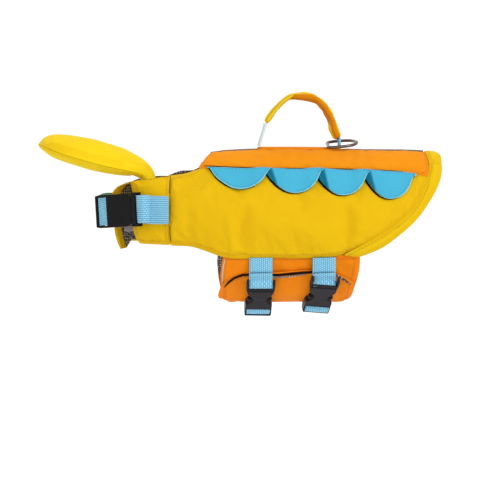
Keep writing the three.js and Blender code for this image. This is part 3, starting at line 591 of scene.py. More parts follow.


# Folds laid over the yellow sides: along x, from one height to another
FOLDS = [
    {"x": -0.071, "top": -0.050, "low": -0.118, "lean": 0.010, "half": 0.0075, "deep": -0.0016},
    {"x": -0.083, "top": -0.055, "low": -0.115, "lean": 0.008, "half": 0.0050, "deep": 0.0012},
    {"x": 0.049, "top": -0.050, "low": -0.116, "lean": -0.008, "half": 0.0070, "deep": -0.0015},
    {"x": 0.061, "top": -0.055, "low": -0.112, "lean": -0.010, "half": 0.0050, "deep": 0.0011},
    {"x": -0.116, "top": -0.048, "low": -0.100, "lean": 0.004, "half": 0.0060, "deep": 0.0013},
    {"x": -0.126, "top": -0.040, "low": -0.100, "lean": 0.002, "half": 0.0050, "deep": -0.0010},
    {"x": -0.010, "top": -0.075, "low": -0.118, "lean": 0.012, "half": 0.0100, "deep": -0.0008},
    {"x": 0.098, "top": -0.052, "low": -0.095, "lean": -0.022, "half": 0.0070, "deep": -0.0009},
]


def folded(points):
    total = np.zeros(len(points))
    for fold in FOLDS:
        share = np.clip((points[:, 2] - fold["top"]) / (fold["low"] - fold["top"]), 0.0, 1.0)
        reach = np.sin(math.pi * np.clip(share, 0.0, 0.92)) ** 0.7
        middle = fold["x"] + fold["lean"] * share
        total += fold["deep"] * reach * np.exp(-(((points[:, 0] - middle) / fold["half"]) ** 2))
    return total


def detailed(piece, tree, out_of, pucker, roll, folds=False, seed=1.0):
    """Puckers along the seams and soft unevenness over the cloth."""
    points = points_of(piece)
    normals = normals_of(piece)
    edge = edge_distance(points, tree)
    outs = np.array([out_of(Vector(p)) for p in points])
    facing = np.clip((normals * outs).sum(axis=1), 0.0, 1.0)
    total = np.zeros(len(points))
    for i, point in enumerate(points):
        near = math.exp(-((edge[i] - 0.006) / 0.0055) ** 2)
        tug = wrinkle(point, 150.0, seed) * 0.6 + wrinkle(point, 70.0, seed + 1) * 0.6
        uneven = wrinkle(point, 26.0, seed + 2) + 0.5 * wrinkle(point, 60.0, seed + 3)
        total[i] = pucker * near * tug + roll * uneven
    if folds:
        total += folded(points)
    total *= np.clip(edge / 0.003, 0.0, 1.0) * facing
    put_points(piece, points + outs * total[:, None])


def mirrored(piece, name):
    mesh = piece.data.copy()
    mesh.transform(Matrix.Scale(-1.0, 4, Vector((0.0, 1.0, 0.0))))
    mesh.flip_normals()
    return linked(name, mesh)


def inset_path(line, inset):
    """Points and normals a little in from an outline, back to the first."""
    made = []
    for i, (here, normal) in enumerate(line):
        tangent = (line[(i + 1) % len(line)][0] - line[i - 1][0]).normalized()
        inward = normal.cross(tangent).normalized()
        made.append((here + inward * inset, normal))
    return made + [made[0]]


# A stitch's cross-sections: share of its length, rise and width
STITCH_SECTIONS = ((0.0, 0.05, 0.5), (0.2, 0.75, 1.0), (0.8, 0.75, 1.0), (1.0, 0.05, 0.5))
STITCH_SUNK = 0.1 * MM


def sewn_line(name, path, surface, material, slot, keep=None):
    """A row of separate stitches laid on a surface."""
    tree = tree_of(surface)
    positions = [p for p, _ in path]
    lengths = [0.0]
    for a, b in zip(positions, positions[1:]):
        lengths.append(lengths[-1] + (b - a).length)

    def at(distance):
        i = min(max(int(np.searchsorted(lengths, distance)) - 1, 0), len(positions) - 2)
        share = (distance - lengths[i]) / max(lengths[i + 1] - lengths[i], 1e-9)
        normal = path[i][1].lerp(path[i + 1][1], share).normalized()
        return positions[i].lerp(positions[i + 1], share), normal

    vertices = []
    faces = []
    along = 0.0
    while along + STITCH < lengths[-1]:
        start, normal = at(along)
        stop, _ = at(along + STITCH)
        along += STITCH + STITCH_GAP
        if keep and not keep((start + stop) / 2):
            continue
        ends = []
        for point in (start, stop):
            hit, face_normal, _, _ = tree.find_nearest(point)
            ends.append((hit, face_normal if face_normal.dot(normal) > 0 else -face_normal))
        direction = ends[1][0] - ends[0][0]
        if direction.length < STITCH * 0.4 or direction.length > STITCH * 1.6:
            continue
        side = direction.normalized().cross(ends[0][1]).normalized() * THREAD * 0.55
        first = len(vertices)
        for share, rise, wide in STITCH_SECTIONS:
            base = ends[0][0] + direction * share
            up = ends[0][1].lerp(ends[1][1], share)
            top = base + up * THREAD * rise
            foot = base - up * STITCH_SUNK
            vertices += [foot - side * wide, top - side * wide * 0.35]
            vertices += [top + side * wide * 0.35, foot + side * wide]
        for k in range(3):
            a = first + 4 * k
            faces += [(a + j, a + 4 + j, a + 5 + j, a + 1 + j) for j in range(3)]
            faces.append((a + 3, a + 7, a + 4, a))
        faces += [(first, first + 1, first + 2, first + 3), (first + 15, first + 14, first + 13, first + 12)]
    mesh = bpy.data.meshes.new(name)
    mesh.from_pydata([tuple(v) for v in vertices], [], faces)
    piece = linked(name, mesh)
    smooth_shaded(piece)
    return dressed(piece, "jacket", slot, material)


def ramp(values, start, end):
    """Rises evenly from 0 at start to 1 at end."""
    return np.clip((values - start) / (end - start), 0.0, 1.0)


def hill(values, middle, half, power=2):
    return np.exp(-(((values - middle) / half) ** power))


# How far rims are let out before their rounding takes them in
SEWN_REACH = 1.0 * MM
HEM_REACH = 3.2 * MM
DIP_REACH = 3.6 * MM
DIP_REACH_GROWTH = 1.2 * MM
BACK_FRONT_REACH = 2.4 * MM
NECK_FRONT_REACH = 1.8 * MM
TAIL_REACH = 2.0 * MM
FLAP_REACH = 1.6 * MM
DIP_STARTS = -0.104
DIP_HEIGHT = -0.030


def side_reach(point):
    """The hem and the neck dip are free edges, and the rest is sewn."""
    if point.z > DIP_HEIGHT and point.x < DIP_STARTS:
        return DIP_REACH + DIP_REACH_GROWTH * ramp(point.x, DIP_STARTS, -0.124)
    hem = point.z < -0.094 and point.x < 0.045
    return HEM_REACH if hem else SEWN_REACH


def back_reach(point):
    return BACK_FRONT_REACH if point.x < -0.093 else SEWN_REACH


def neck_reach(point):
    return NECK_FRONT_REACH if point.x < -0.144 else SEWN_REACH


def slope_forward(points):
    """The near panel's front slope covers the lining behind it."""
    share = ramp(points[:, 0], -0.088, -0.100) * ramp(points[:, 2], -0.020, -0.014)
    return points + share[:, None] * np.array([-1.2, 0.0, 1.2]) * MM


def slope_back(points):
    """The far panel's front slope lies a little behind the near one's."""
    share = ramp(points[:, 0], -0.086, -0.098) * ramp(points[:, 2], -0.024, -0.018)
    return points + share[:, None] * np.array([3.4, 0.0, -0.8]) * MM


# The far neck panel's lower edge in the picture, from its top to its point
NECK_CORNER = ((134.6, 231.0), (125.4, 249.4))
NECK_FRONT = -0.150


def neck_corner(points):
    """The far neck panel narrows to a point at the bottom."""
    (x0, y0), (x1, y1) = NECK_CORNER
    for point in points:
        across, down = in_picture(point)
        if down > y0 - 3 and point[0] < NECK_FRONT:
            edge = x0 + (x1 - x0) * max(0.0, down - y0) / (y1 - y0)
            point[0] -= max(0.0, across - edge) * PICTURE_WIDE / PIXELS * 0.96
    return points


def low_at_the_dip(points):
    """The far cloth stays under the lining where the neck dips."""
    share = ramp(points[:, 0], -0.100, -0.110) * ramp(points[:, 2], -0.036, -0.028)
    points[:, 2] -= 3.6 * MM * share
    return points


def far_neck(points):
    return low_at_the_dip(neck_corner(points))


def flap_corners(points):
    """The lower front corner is pulled forward and the rear edge out a little."""
    low = hill(points[:, 2], -0.152, 0.008) * (points[:, 1] < -0.015)
    points[:, 0] -= 3.6 * MM * low * ramp(points[:, 0], -0.068, -0.084)
    points[:, 0] += 1.6 * MM * ramp(points[:, 0], 0.044, 0.056) * (points[:, 1] < 0)
    return points


# Padded panels
PADS = [
    {"node": "side_panel", "slot": "yellow_cloth", "material": YELLOW, "thread": YELLOW_THREAD, "folds": True,
     "pressure": 2.0, "growth": 0.012, "cap": 0.0022, "pucker": 0.0011, "roll": 0.0007,
     "sewn": lambda p: p.z < -0.094 or p.x < -0.132, "reach": side_reach},
    {"node": "back_panel", "slot": "orange_cloth", "material": ORANGE, "thread": ORANGE_THREAD, "folds": False,
     "pressure": 2.0, "growth": 0.010, "cap": 0.0020, "pucker": 0.0010, "roll": 0.0006,
     "sewn": lambda p: p.x > 0.128, "reach": back_reach},
]


def held_places(piece, tree, out_of):
    """What the cloth can't move: the seams and the whole inner face."""
    points = points_of(piece)
    normals = normals_of(piece)
    outs = np.array([out_of(Vector(p)) for p in points])
    facing = (normals * outs).sum(axis=1)
    return (facing < 0.25) | (edge_distance(points, tree) < 0.0022)


def padded_piece(node, out_of=from_axis, pressure=2.0, growth=0.012, cap=0.002, pucker=0.001, roll=0.0006,
                 folds=False, seed=1.0, kind="body", reach=lambda p: SEWN_REACH, warp=None):
    """A pad puffed up from its solid, and the solid's outline."""
    work = welded(node)
    line = outer_loops(work, out_of)[0]
    tree = rim_tree(line)
    let_out(work, out_of, reach)
    piece = refined(work, f"{node}_cloth", 2, PAD_RIM_HOLD, out_of)
    work.free()
    puffed(piece, held_places(piece, tree, out_of), pressure, growth, cap)
    detail = piece.modifiers.new("fine", "SUBSURF")
    detail.levels = detail.render_levels = 1
    settle(piece)
    detailed(piece, tree, out_of, pucker, roll, folds, seed)
    if warp:
        put_points(piece, warp(points_of(piece)))
    lay_out(piece, kind, tree)
    smooth_shaded(piece)
    return piece, line


SEAM_LINES = []
for number, pad in enumerate(PADS):
    chosen = {key: pad[key] for key in ("pressure", "growth", "cap", "pucker", "roll", "folds", "reach")}
    left, line = padded_piece(f"{pad['node']}_left", seed=3.0 + number, **chosen)
    right = mirrored(left, f"{pad['node']}_right_cloth")
    if pad["node"] == "side_panel":
        put_points(right, low_at_the_dip(points_of(right)))
    if pad["node"] == "back_panel":
        put_points(left, slope_forward(points_of(left)))
        put_points(right, slope_back(points_of(right)))
    for piece, side in ((left, "left"), (right, "right")):
        dressed(piece, "jacket", pad["slot"], pad["material"], f"{pad['node']}_{side}")
    SEAM_LINES.append(line)
    row = sewn_line(f"{pad['node']}_stitches_left", inset_path(line, 3.2 * MM), left, pad["thread"],
                    pad["slot"], keep=pad["sewn"])
    dressed(mirrored(row, f"{pad['node']}_stitches_right"), "jacket", pad["slot"], pad["thread"])

for side in ("left", "right"):
    piece, line = padded_piece(f"neck_panel_{side}", seed=7.0, growth=0.02, reach=neck_reach,
                               warp=far_neck if side == "right" else None)
    dressed(piece, "jacket", "yellow_cloth", YELLOW, f"neck_panel_{side}")
    sewn_line(f"neck_stitches_{side}", inset_path(line, STITCH_INSET), piece, YELLOW_THREAD, "yellow_cloth")

panel_rims = [rim_tree([spot for line in SEAM_LINES for spot in line])]
panel_rims.append(rim_tree([(Vector((p.x, -p.y, p.z)), n) for line in SEAM_LINES for p, n in line]))


def beside_panels(point):
    return min(tree.find(point)[2] for tree in panel_rims) < 6.2 * MM


for side in ("left", "right", "top"):
    node = f"tail_border_{side}"
    piece, line = padded_piece(node, pressure=1.0, growth=0.0, cap=0.0006, pucker=0.0006, roll=0.0003, seed=9.0,
                               reach=lambda p: SEWN_REACH if beside_panels(p) else TAIL_REACH)
    dressed(piece, "jacket", "yellow_cloth", LIT_BAND_YELLOW, node)
    sewn_line(f"{node}_stitches", inset_path(line, 2.6 * MM), piece, YELLOW_THREAD, "yellow_cloth",
              keep=beside_panels)

for node, seed in (("belly_flap_under", 11.0), ("belly_flap_over", 12.0)):
    piece, line = padded_piece(node, pressure=1.5, growth=0.014, cap=0.0016, pucker=0.0007, roll=0.0007,
                               seed=seed, reach=lambda p: FLAP_REACH, warp=flap_corners)
    dressed(piece, "jacket", "orange_cloth", SHADED_BELLY_ORANGE, node)
    sewn_line(f"{node}_stitches", inset_path(line, STITCH_INSET), piece, ORANGE_THREAD, "orange_cloth")

for node, way in (("chin_float_top", 1.0), ("chin_float_base", -1.0)):
    piece, line = padded_piece(node, kind="float", out_of=lambda p, way=way: Vector((0.0, 0.0, way)),
                               pressure=3.0, cap=0.003, pucker=0.0009, roll=0.0009, seed=14.0 + way)
    dressed(piece, "jacket", "yellow_cloth", LIT_FLOAT_YELLOW, node)


# Thin cloth and webbing on their solids' own form
LINING = {"slot": "dark_mesh", "material": MESH, "kind": "body"}
STRAP = {"slot": "blue_webbing", "material": WEBBING, "kind": "round"}
SHEETS = [
    {**LINING, "node": "body_lining_left", "flat": (0.295, 0.150), "area": 0.0355},
    {**LINING, "node": "body_lining_right", "flat": (0.295, 0.150), "area": 0.0355},
    {**LINING, "node": "neck_lining_left", "flat": (0.042, 0.078), "area": 0.0028, "kind": "neck"},
    {**LINING, "node": "neck_lining_right", "flat": (0.060, 0.084), "area": 0.0040, "kind": "neck"},
    {**LINING, "node": "belly_lining", "flat": (0.146, 0.096)},
    {**LINING, "node": "spine_strip_front", "flat": (0.050, 0.017), "material": SPINE_MESH},
    {**LINING, "node": "spine_strip_rear", "flat": (0.089, 0.017), "material": SPINE_MESH},
    {**LINING, "node": "handle_saddle", "flat": (0.090, 0.017), "material": ORANGE, "slot": "orange_cloth"},
    {**LINING, "node": "neck_tab", "flat": (0.015, 0.047), "material": TAB, "slot": "grey_tab", "kind": "neck"},
    {**STRAP, "node": "belly_strap_front_left", "flat": (0.025, 0.071)},
    {**STRAP, "node": "belly_strap_front_right", "flat": (0.025, 0.137)},
    {**STRAP, "node": "belly_strap_rear_left", "flat": (0.025, 0.069)},
    {**STRAP, "node": "belly_strap_rear_right", "flat": (0.025, 0.138)},
    {**STRAP, "node": "neck_strap_left", "flat": (0.030, 0.090), "kind": "neck"},
    {**STRAP, "node": "neck_strap_right", "flat": (0.030, 0.137), "kind": "neck"},
    {**STRAP, "node": "handle_leg_front", "flat": (0.025, 0.0255), "kind": "leg", "material": SELVEDGE},
    {**STRAP, "node": "handle_leg_rear", "flat": (0.025, 0.010), "kind": "leg"},
]


def raised_at_the_dip(points):
    """The lining stands over the cloth where the neck dips, and lies lower ahead of the back."""
    top = ramp(points[:, 2], DIP_HEIGHT, -0.022)
    points[:, 2] += 2.6 * MM * top * hill(points[:, 0], -0.136, 0.014, 4)
    points[:, 2] -= 3.0 * MM * top * hill(points[:, 0], -0.103, 0.014, 4)
    return points


def spread_forward(points):
    """The belly lining shows ahead of the flap at the hem."""
    share = ramp(points[:, 0], -0.066, -0.082) * ramp(points[:, 2], -0.142, -0.114)
    points[:, 0] -= 6.8 * MM * share * (points[:, 1] < 0)
    return points


def sunk(points):
    """The mesh strip lies a little below the ridge of the back panels."""
    points[:, 2] -= 1.8 * MM
    return points


# Heights at which the near ends of the belly straps turn in
FRONT_TUCK = -0.1435
REAR_TUCK = -0.1405
TUCK_DEEP = 5.5 * MM


def ironed(points, tuck):
    """The webbing runs smooth over the step of the flaps, and its end turns in behind the buckle's bar."""
    near = points[:, 1] < -0.03
    levels = np.arange(-0.152, -0.096, 0.001)
    spread = hill(levels[:, None], points[None, near, 2], 0.0012)
    wide = hill(levels[:, None], points[None, near, 2], 0.006)
    own = (spread @ points[near, 1]) / (spread.sum(axis=1) + 1e-9)
    flat = (wide @ points[near, 1]) / (wide.sum(axis=1) + 1e-9)
    inner = ramp(points[:, 2], -0.148, -0.142) * ramp(points[:, 2], -0.106, -0.112)
    points[:, 1] += np.interp(points[:, 2], levels, flat - own) * inner * near
    points[:, 1] += TUCK_DEEP * ramp(points[:, 2], tuck, tuck - 1.2 * MM) * near
    return points


SHAPED = {
    "body_lining_left": raised_at_the_dip,
    "body_lining_right": raised_at_the_dip,
    "spine_strip_front": sunk,
    "spine_strip_rear": sunk,
    "belly_strap_front_left": lambda points: ironed(points, FRONT_TUCK),
    "belly_strap_rear_left": lambda points: ironed(points, REAR_TUCK),
    "neck_lining_right": neck_corner,
    "belly_lining": spread_forward,
}

for sheet in SHEETS:
    work = welded(sheet["node"])
    piece = refined(work, f"{sheet['node']}_cloth", 2, 0.9)
    if sheet["node"] in SHAPED:
        put_points(piece, SHAPED[sheet["node"]](points_of(piece)))
    loops = outer_loops(work) if sheet["kind"] in ("body", "neck") else []
    tree = rim_tree(loops[0]) if loops else None
    work.free()
    lay_out(piece, sheet["kind"], tree)
    smooth_shaded(piece)
    dressed(piece, "jacket", sheet["slot"], sheet["material"], sheet["node"])

# Scallops: flat size, reach along the seam and depth in millimetres, and the fold over each in the picture
SCALLOPS = [
    {"flat": (0.068, 0.027), "from": -100, "to": -33, "low": -38, "fold": None},
    {"flat": (0.066, 0.029), "from": -41, "to": 24, "low": -42.6, "fold": ((270.6, 167.0), (278.6, 189.5))},
    {"flat": (0.062, 0.030), "from": 13, "to": 74, "low": -45.1, "fold": ((323.4, 167.0), (328.8, 189.5))},
    {"flat": (0.061, 0.032), "from": 65, "to": 123.4, "low": -48.9, "fold": ((369.0, 167.0), (375.4, 191.5))},
]
# The orange and blue seam's height along the body, in millimetres
SEAM = [(-107, -12.4), (-100.2, -12.6), (-66, -14.2), (-33.9, -15), (23.4, -15.4), (73.5, -16.8), (110, -18.3),
        (134.6, -22.2)]
# Where the frame's origin is seen, and millimetres to a pixel
SEEN_ORIGIN = (301.0, 154.0)
SEEN_SCALE = 1.08
# The lower edge of a scallop, as shares of its depth from its front end to its rear end
DROOP = [0.06, 0.46, 0.74, 0.93, 1.0, 0.97, 0.86, 0.6, 0.06]
FOLD_RISE = 2.6 * MM


def ahead_of_fold(points, fold):
    """How far each point lies ahead of the fold line, in metres."""
    if fold is None:
        return np.full(len(points), -1.0)
    (x0, y0), (x1, y1) = fold
    long = math.hypot(x1 - x0, y1 - y0)
    seen = np.array([in_picture(point) for point in points])
    pixels = ((seen[:, 1] - y0) * (x1 - x0) - (seen[:, 0] - x0) * (y1 - y0)) / long
    return pixels * PICTURE_WIDE / PIXELS


def seam_height(x):
    return np.interp(x, [p[0] for p in SEAM], [p[1] for p in SEAM]) - 0.6


def along_curve(values, share):
    """A smooth curve through evenly numbered values."""
    i = min(int(share), len(values) - 2)
    t = share - i
    a, b, c, d = (values[min(max(k, 0), len(values) - 1)] for k in (i - 1, i, i + 1, i + 2))
    return (b * 2 + (c - a) * t + (a * 2 - b * 5 + c * 4 - d) * t * t + (b * 3 - a - c * 3 + d) * t ** 3) / 2


def droop(share):
    return along_curve(DROOP, (share + 1.0) / 2 * (len(DROOP) - 1))


def reshaped(points, scallop, surface):
    """Draws the solid's round lower edge up to the flatter one that is seen, over the panel's surface."""
    tree = tree_of(surface)
    middle = (scallop["from"] + scallop["to"]) / 2
    half = (scallop["to"] - scallop["from"]) / 2
    for i, point in enumerate(points):
        across, down = in_picture(point)
        x = (across - SEEN_ORIGIN[0]) * SEEN_SCALE
        z = (SEEN_ORIGIN[1] - down) * SEEN_SCALE
        share = min(1.0, max(-1.0, (x - middle) / half))
        top = seam_height(x)
        deep = top - scallop["low"]
        solid = (3 + (deep - 3) * (1 - abs(share) ** 2.1) ** 0.62) / deep
        lift = max(0.0, top - z) * (1 - min(1.06, droop(share) / solid)) * MM
        spot = Vector(point)
        out = from_axis(spot)
        near = tree.find_nearest(spot)
        moved = spot + Vector((0.0, out.z, -out.y)) * (lift / max(0.3, -out.y))
        there = tree.find_nearest(moved)
        before = (spot - near[0]).dot(out)
        after = (moved - there[0]).dot(out)
        points[i] = moved + out * (before - after)
    return points


side_cloth = bpy.data.objects["side_panel_left_cloth"]
for number, scallop in enumerate(SCALLOPS, start=1):
    node = f"scallop_left_{number}"
    work = welded(node)
    left = refined(work, f"{node}_cloth", 3, 0.7)
    line = outer_loops(work)[0]
    work.free()
    put_points(left, reshaped(points_of(left), scallop, side_cloth))
    spots = reshaped([p for p, _ in line], scallop, side_cloth)
    line = [(spot, normal) for spot, (_, normal) in zip(spots, line)]
    tree = rim_tree(line)
    points = points_of(left)
    outs = np.array([from_axis(Vector(p)) for p in points])
    ahead = ahead_of_fold(points, scallop["fold"])
    below_seam = np.clip(edge_distance(points, tree) / 0.004, 0.0, 1.0)
    ridge = np.where(ahead > 0, hill(ahead, 0.0, 0.0042), hill(ahead, 0.0, 0.016))
    soft = np.array([wrinkle(p, 60.0, 20.0 + number) for p in points]) * 0.0006
    put_points(left, points + outs * ((ridge * FOLD_RISE + soft) * (0.35 + 0.65 * below_seam))[:, None])
    lay_out(left, "body", tree)
    # fold: distance ahead of the fold line, by which the material paints the folded-under part deeper teal as
    # shade
    layer = left.data.attributes.new("fold", "FLOAT", "POINT")
    layer.data.foreach_set("value", ahead)
    smooth_shaded(left)
    right = mirrored(left, f"scallop_right_{number}_cloth")
    flat = scallop["flat"]
    for piece, side in ((left, "left"), (right, "right")):
        dressed(piece, "jacket", "blue_cloth", BLUE, f"scallop_{side}_{number}")
        flat[0] * flat[1] * 0.75
    row = sewn_line(f"scallop_stitches_left_{number}", inset_path(line, 2.4 * MM), left, TEAL_THREAD,
                    "blue_cloth")
    dressed(mirrored(row, f"scallop_stitches_right_{number}"), "jacket", "blue_cloth", TEAL_THREAD)

# Handle grip, drawn from its outer and inner outline; its inner face, painted amber as shade, turns out behind
# the twist
GRIP_OUTLINE = [
    ((264.2, 119.8), (267.4, 124.6)), ((267.6, 114.6), (271.6, 119.2)), ((271.4, 109.6), (275.4, 113.4)),
    ((276.4, 104.4), (280.2, 107.4)), ((281.8, 99.4), (285.0, 102.6)), ((287.2, 95.2), (289.2, 99.8)),
    ((292.4, 93.1), (293.4, 99.6)), ((298.0, 92.3), (298.4, 100.0)), ((305.0, 92.4), (304.6, 101.0)),
    ((312.0, 93.7), (310.4, 102.4)), ((318.4, 96.3), (315.6, 104.4)), ((323.6, 99.9), (319.2, 107.6)),
    ((327.8, 104.7), (322.8, 111.2)), ((331.0, 109.9), (324.6, 115.0)), ((333.6, 115.5), (327.4, 119.6)),
    ((336.0, 121.3), (328.6, 124.2)), ((338.4, 127.3), (328.8, 129.8)), ((340.4, 132.6), (331.2, 135.4)),
    ((341.0, 135.8), (334.0, 139.8)),
]
GRIP_HALF = 14.5 * MM
GRIP_ROUND = 28
GRIP_STEP = 7.5 * MM
RINGS_A_STEP = 8
TWIST_AT = 5.4


def rounded(value, power):
    """A sine or cosine swollen toward a square's corners."""
    return math.copysign(abs(value) ** power, value)


def share_between(value, start, end):
    return min(1.0, max(0.0, (value - start) / (end - start)))


def grip_ring(share, last, outer, inner):
    """Points round the grip at one place along it, with the weave's place and the seams there."""
    top = along_curve(outer, share)
    low = along_curve(inner, share)
    middle = (top + low) / 2
    end = min(1.0, 0.72 + 0.5 * min(share, last - share))
    behind = share_between(share, TWIST_AT, TWIST_AT + 1.2)
    made = []
    for j in range(GRIP_ROUND):
        angle = 2 * math.pi * j / GRIP_ROUND
        wide = rounded(math.sin(angle), 0.72) * (1.0 - 0.12 * (1.0 - behind)) * GRIP_HALF * min(1.0, end + 0.08)
        spot = middle + (top - middle) * rounded(math.cos(angle), 0.8) * end + Vector((0.0, wide, 0.0))
        crumple = wrinkle(spot, 130.0, 5.0) * 0.5 + wrinkle(spot, 60.0, 6.0) * 0.7
        spot += (top - middle).normalized() * crumple * (0.6 + 0.7 * behind) * MM
        side = math.degrees(min(angle, 2 * math.pi - angle))
        lower_end = share_between(share, 14.2, 15.6) * share_between(side, 118, 132)
        start = share_between(share - math.cos(angle), TWIST_AT, TWIST_AT + 0.5)
        # inside: the inner face's share, which the handle's material paints amber as shade
        inside = start * share_between(side, 26, 70) * (1.0 - lower_end)
        seam = (1.0 - behind) * (math.exp(-((side - 52) / 8) ** 2) + math.exp(-((side - 128) / 8) ** 2))
        made.append((spot, (share * GRIP_STEP, spot.y, inside), seam))
    return made


def grip_mesh():
    outer = [placed(*pair[0]) for pair in GRIP_OUTLINE]
    inner = [placed(*pair[1]) for pair in GRIP_OUTLINE]
    last = len(GRIP_OUTLINE) - 1
    rings = last * RINGS_A_STEP
    made = []
    for k in range(rings + 1):
        made += grip_ring(k / RINGS_A_STEP, last, outer, inner)
    faces = []
    for k in range(rings):
        for j in range(GRIP_ROUND):
            after = (j + 1) % GRIP_ROUND
            first = k * GRIP_ROUND
            faces.append((first + j, first + after, first + GRIP_ROUND + after, first + GRIP_ROUND + j))
    for ring_number, way in ((0, -1), (rings, 1)):
        first = ring_number * GRIP_ROUND
        middle = sum((made[first + j][0] for j in range(GRIP_ROUND)), Vector()) / GRIP_ROUND
        made.append((middle, made[first][1], 0.0))
        for j in range(GRIP_ROUND):
            pair = (first + j, first + (j + 1) % GRIP_ROUND)
            faces.append((len(made) - 1, *pair[::way]))
    mesh = bpy.data.meshes.new("handle_grip_cloth")
    mesh.from_pydata([tuple(spot) for spot, _, _ in made], [], faces)
    layer = mesh.attributes.new("cloth", "FLOAT_VECTOR", "POINT")
    layer.data.foreach_set("vector", np.array([place for _, place, _ in made]).ravel())
    layer = mesh.attributes.new("seam", "FLOAT", "POINT")
    layer.data.foreach_set("value", np.array([seam for _, _, seam in made]))
    work = bmesh.new()
    work.from_mesh(mesh)
    bmesh.ops.recalc_face_normals(work, faces=work.faces)
    work.to_mesh(mesh)
    work.free()
    return mesh


grip = linked("handle_grip_cloth", grip_mesh())
smooth_shaded(grip)
dressed(grip, "jacket", "yellow_cloth", GRIP, "handle_grip")


# Strips laid on other cloth: across the strip, share of its width and of its rise
STRIP_SECTION = ((-1.0, 0.0), (-0.7, 1.0), (0.7, 1.0), (1.0, 0.0))
STRIP_STEPS = 6
STRIP_SUNK = 0.3 * MM


def laid_strip(name, places, widths, surfaces, thick, material, slot):
    """A thin strip laid on surfaces through places in the picture."""
    tree = tree_of(*surfaces)
    middle = []
    for i in range(len(places) - 1):
        for k in range(STRIP_STEPS + (i == len(places) - 2)):
            share = k / STRIP_STEPS
            across = places[i][0] + (places[i + 1][0] - places[i][0]) * share
            down = places[i][1] + (places[i + 1][1] - places[i][1]) * share
            hit, normal, _, _ = tree.ray_cast(EYE, sight(across, down))
            if hit is not None:
                wide = widths[i] + (widths[i + 1] - widths[i]) * share
                middle.append((hit, normal, wide))
    vertices = []
    faces = []
    for i, (hit, normal, wide) in enumerate(middle):
        tangent = (middle[min(i + 1, len(middle) - 1)][0] - middle[max(i - 1, 0)][0]).normalized()
        side = normal.cross(tangent).normalized()
        for share, rise in STRIP_SECTION:
            vertices.append(hit + side * (wide / 2 * share) + normal * (STRIP_LIFT + thick * rise))
        for share in (0.8, -0.8):
            vertices.append(hit + side * (wide / 2 * share) + normal * (STRIP_LIFT - STRIP_SUNK))
        if i:
            a = 6 * (i - 1)
            faces += [(a + k, a + (k + 1) % 6, a + 6 + (k + 1) % 6, a + 6 + k) for k in range(6)]
    last = len(vertices) - 6
    faces += [(5, 4, 3, 2, 1, 0), tuple(last + k for k in range(6))]
    mesh = bpy.data.meshes.new(name)
    mesh.from_pydata([tuple(v) for v in vertices], [], faces)
    piece = linked(name, mesh)
    lay_out(piece, "body")
    smooth_shaded(piece)
    return dressed(piece, "jacket", slot, material)


flap_under = bpy.data.objects["belly_flap_under_cloth"]
flap_over = bpy.data.objects["belly_flap_over_cloth"]
back_cloth = bpy.data.objects["back_panel_left_cloth"]
neck_cloth = bpy.data.objects["neck_panel_left_cloth"]
# The belly slit's near-black front and middle strips are painted shadow in the gap above the over flap's edge
SLIT = {"on": (flap_under, flap_over), "material": DARK_SEAM_AND_SHADOW_CLOTH, "slot": "dark_mesh", "thick": 0.8}
# Dark strips: dark seam lines at the neck, and painted shadow along the back seam and under the scallops
SEAM_LINE = {"on": (side_cloth, neck_cloth), "material": DARK_SEAM_AND_SHADOW_CLOTH, "slot": "dark_mesh", "thick": 0.4}
# Places in the picture, and width and thickness in millimetres
STRIPS = [
    {**SLIT, "name": "belly_slit_shadow_front", "wide": [0.8, 2.4, 2.8, 3.0, 3.0],
     "places": [(224.4, 287.0), (228.7, 282.2), (234.5, 278.0), (242.0, 275.2), (249.5, 274.6)]},
    {**SLIT, "name": "belly_slit_shadow_middle", "wide": [2.6, 3.2, 3.4, 3.0, 3.0], "thick": 0.9,
     "places": [(271.0, 275.0), (280.0, 274.8), (292.0, 273.8), (302.0, 272.6), (312.0, 272.0)]},
    {**SLIT, "name": "belly_slit_rear", "wide": [2.2, 2.4, 2.2, 1.0], "material": MESH,
     "places": [(335.0, 274.8), (339.4, 276.8), (345.0, 280.2), (350.6, 284.2)]},
    {**SLIT, "name": "belly_slit_edge", "wide": [2.4, 1.7, 1.6, 1.6, 1.4, 0.8], "on": (flap_over,),
     "material": PALE_MESH,
     "places": [(272.6, 276.6), (277.0, 277.4), (284.0, 277.1), (292.0, 276.2), (299.0, 275.0),
                (306.0, 274.2)]},
    {"name": "belly_front_binding", "on": (flap_under,), "material": BINDING, "slot": "orange_cloth",
     "thick": 0.7, "wide": [1.5, 1.5, 1.4, 1.2],
     "places": [(224.8, 259.4), (223.6, 266.0), (222.6, 276.0), (222.4, 284.0)]},
    {**SEAM_LINE, "name": "neck_seam_line", "wide": [0.4, 0.6, 0.6],
     "places": [(170.4, 175.6), (170.1, 184.0), (169.9, 193.4)]},
    {**SEAM_LINE, "name": "neck_seam_line_low", "wide": [0.6, 0.6, 0.4],
     "places": [(169.9, 226.0), (170.0, 234.0), (171.0, 241.6)]},
    # painted shadow: a dark strip along the seam over the scallops' tops
    {**SEAM_LINE, "name": "back_seam_shadow", "on": (back_cloth, side_cloth), "thick": 0.5, "both": True,
     "wide": [0.5, 0.9, 0.9, 0.9, 0.9, 0.9, 0.9, 0.9, 0.9, 0.6],
     "places": [(204.0, 165.9), (215.0, 166.3), (240.0, 167.4), (270.0, 168.2), (300.0, 168.4), (322.0, 168.6),
                (345.0, 169.0), (369.0, 169.8), (392.0, 170.8), (403.0, 171.6)]},
]


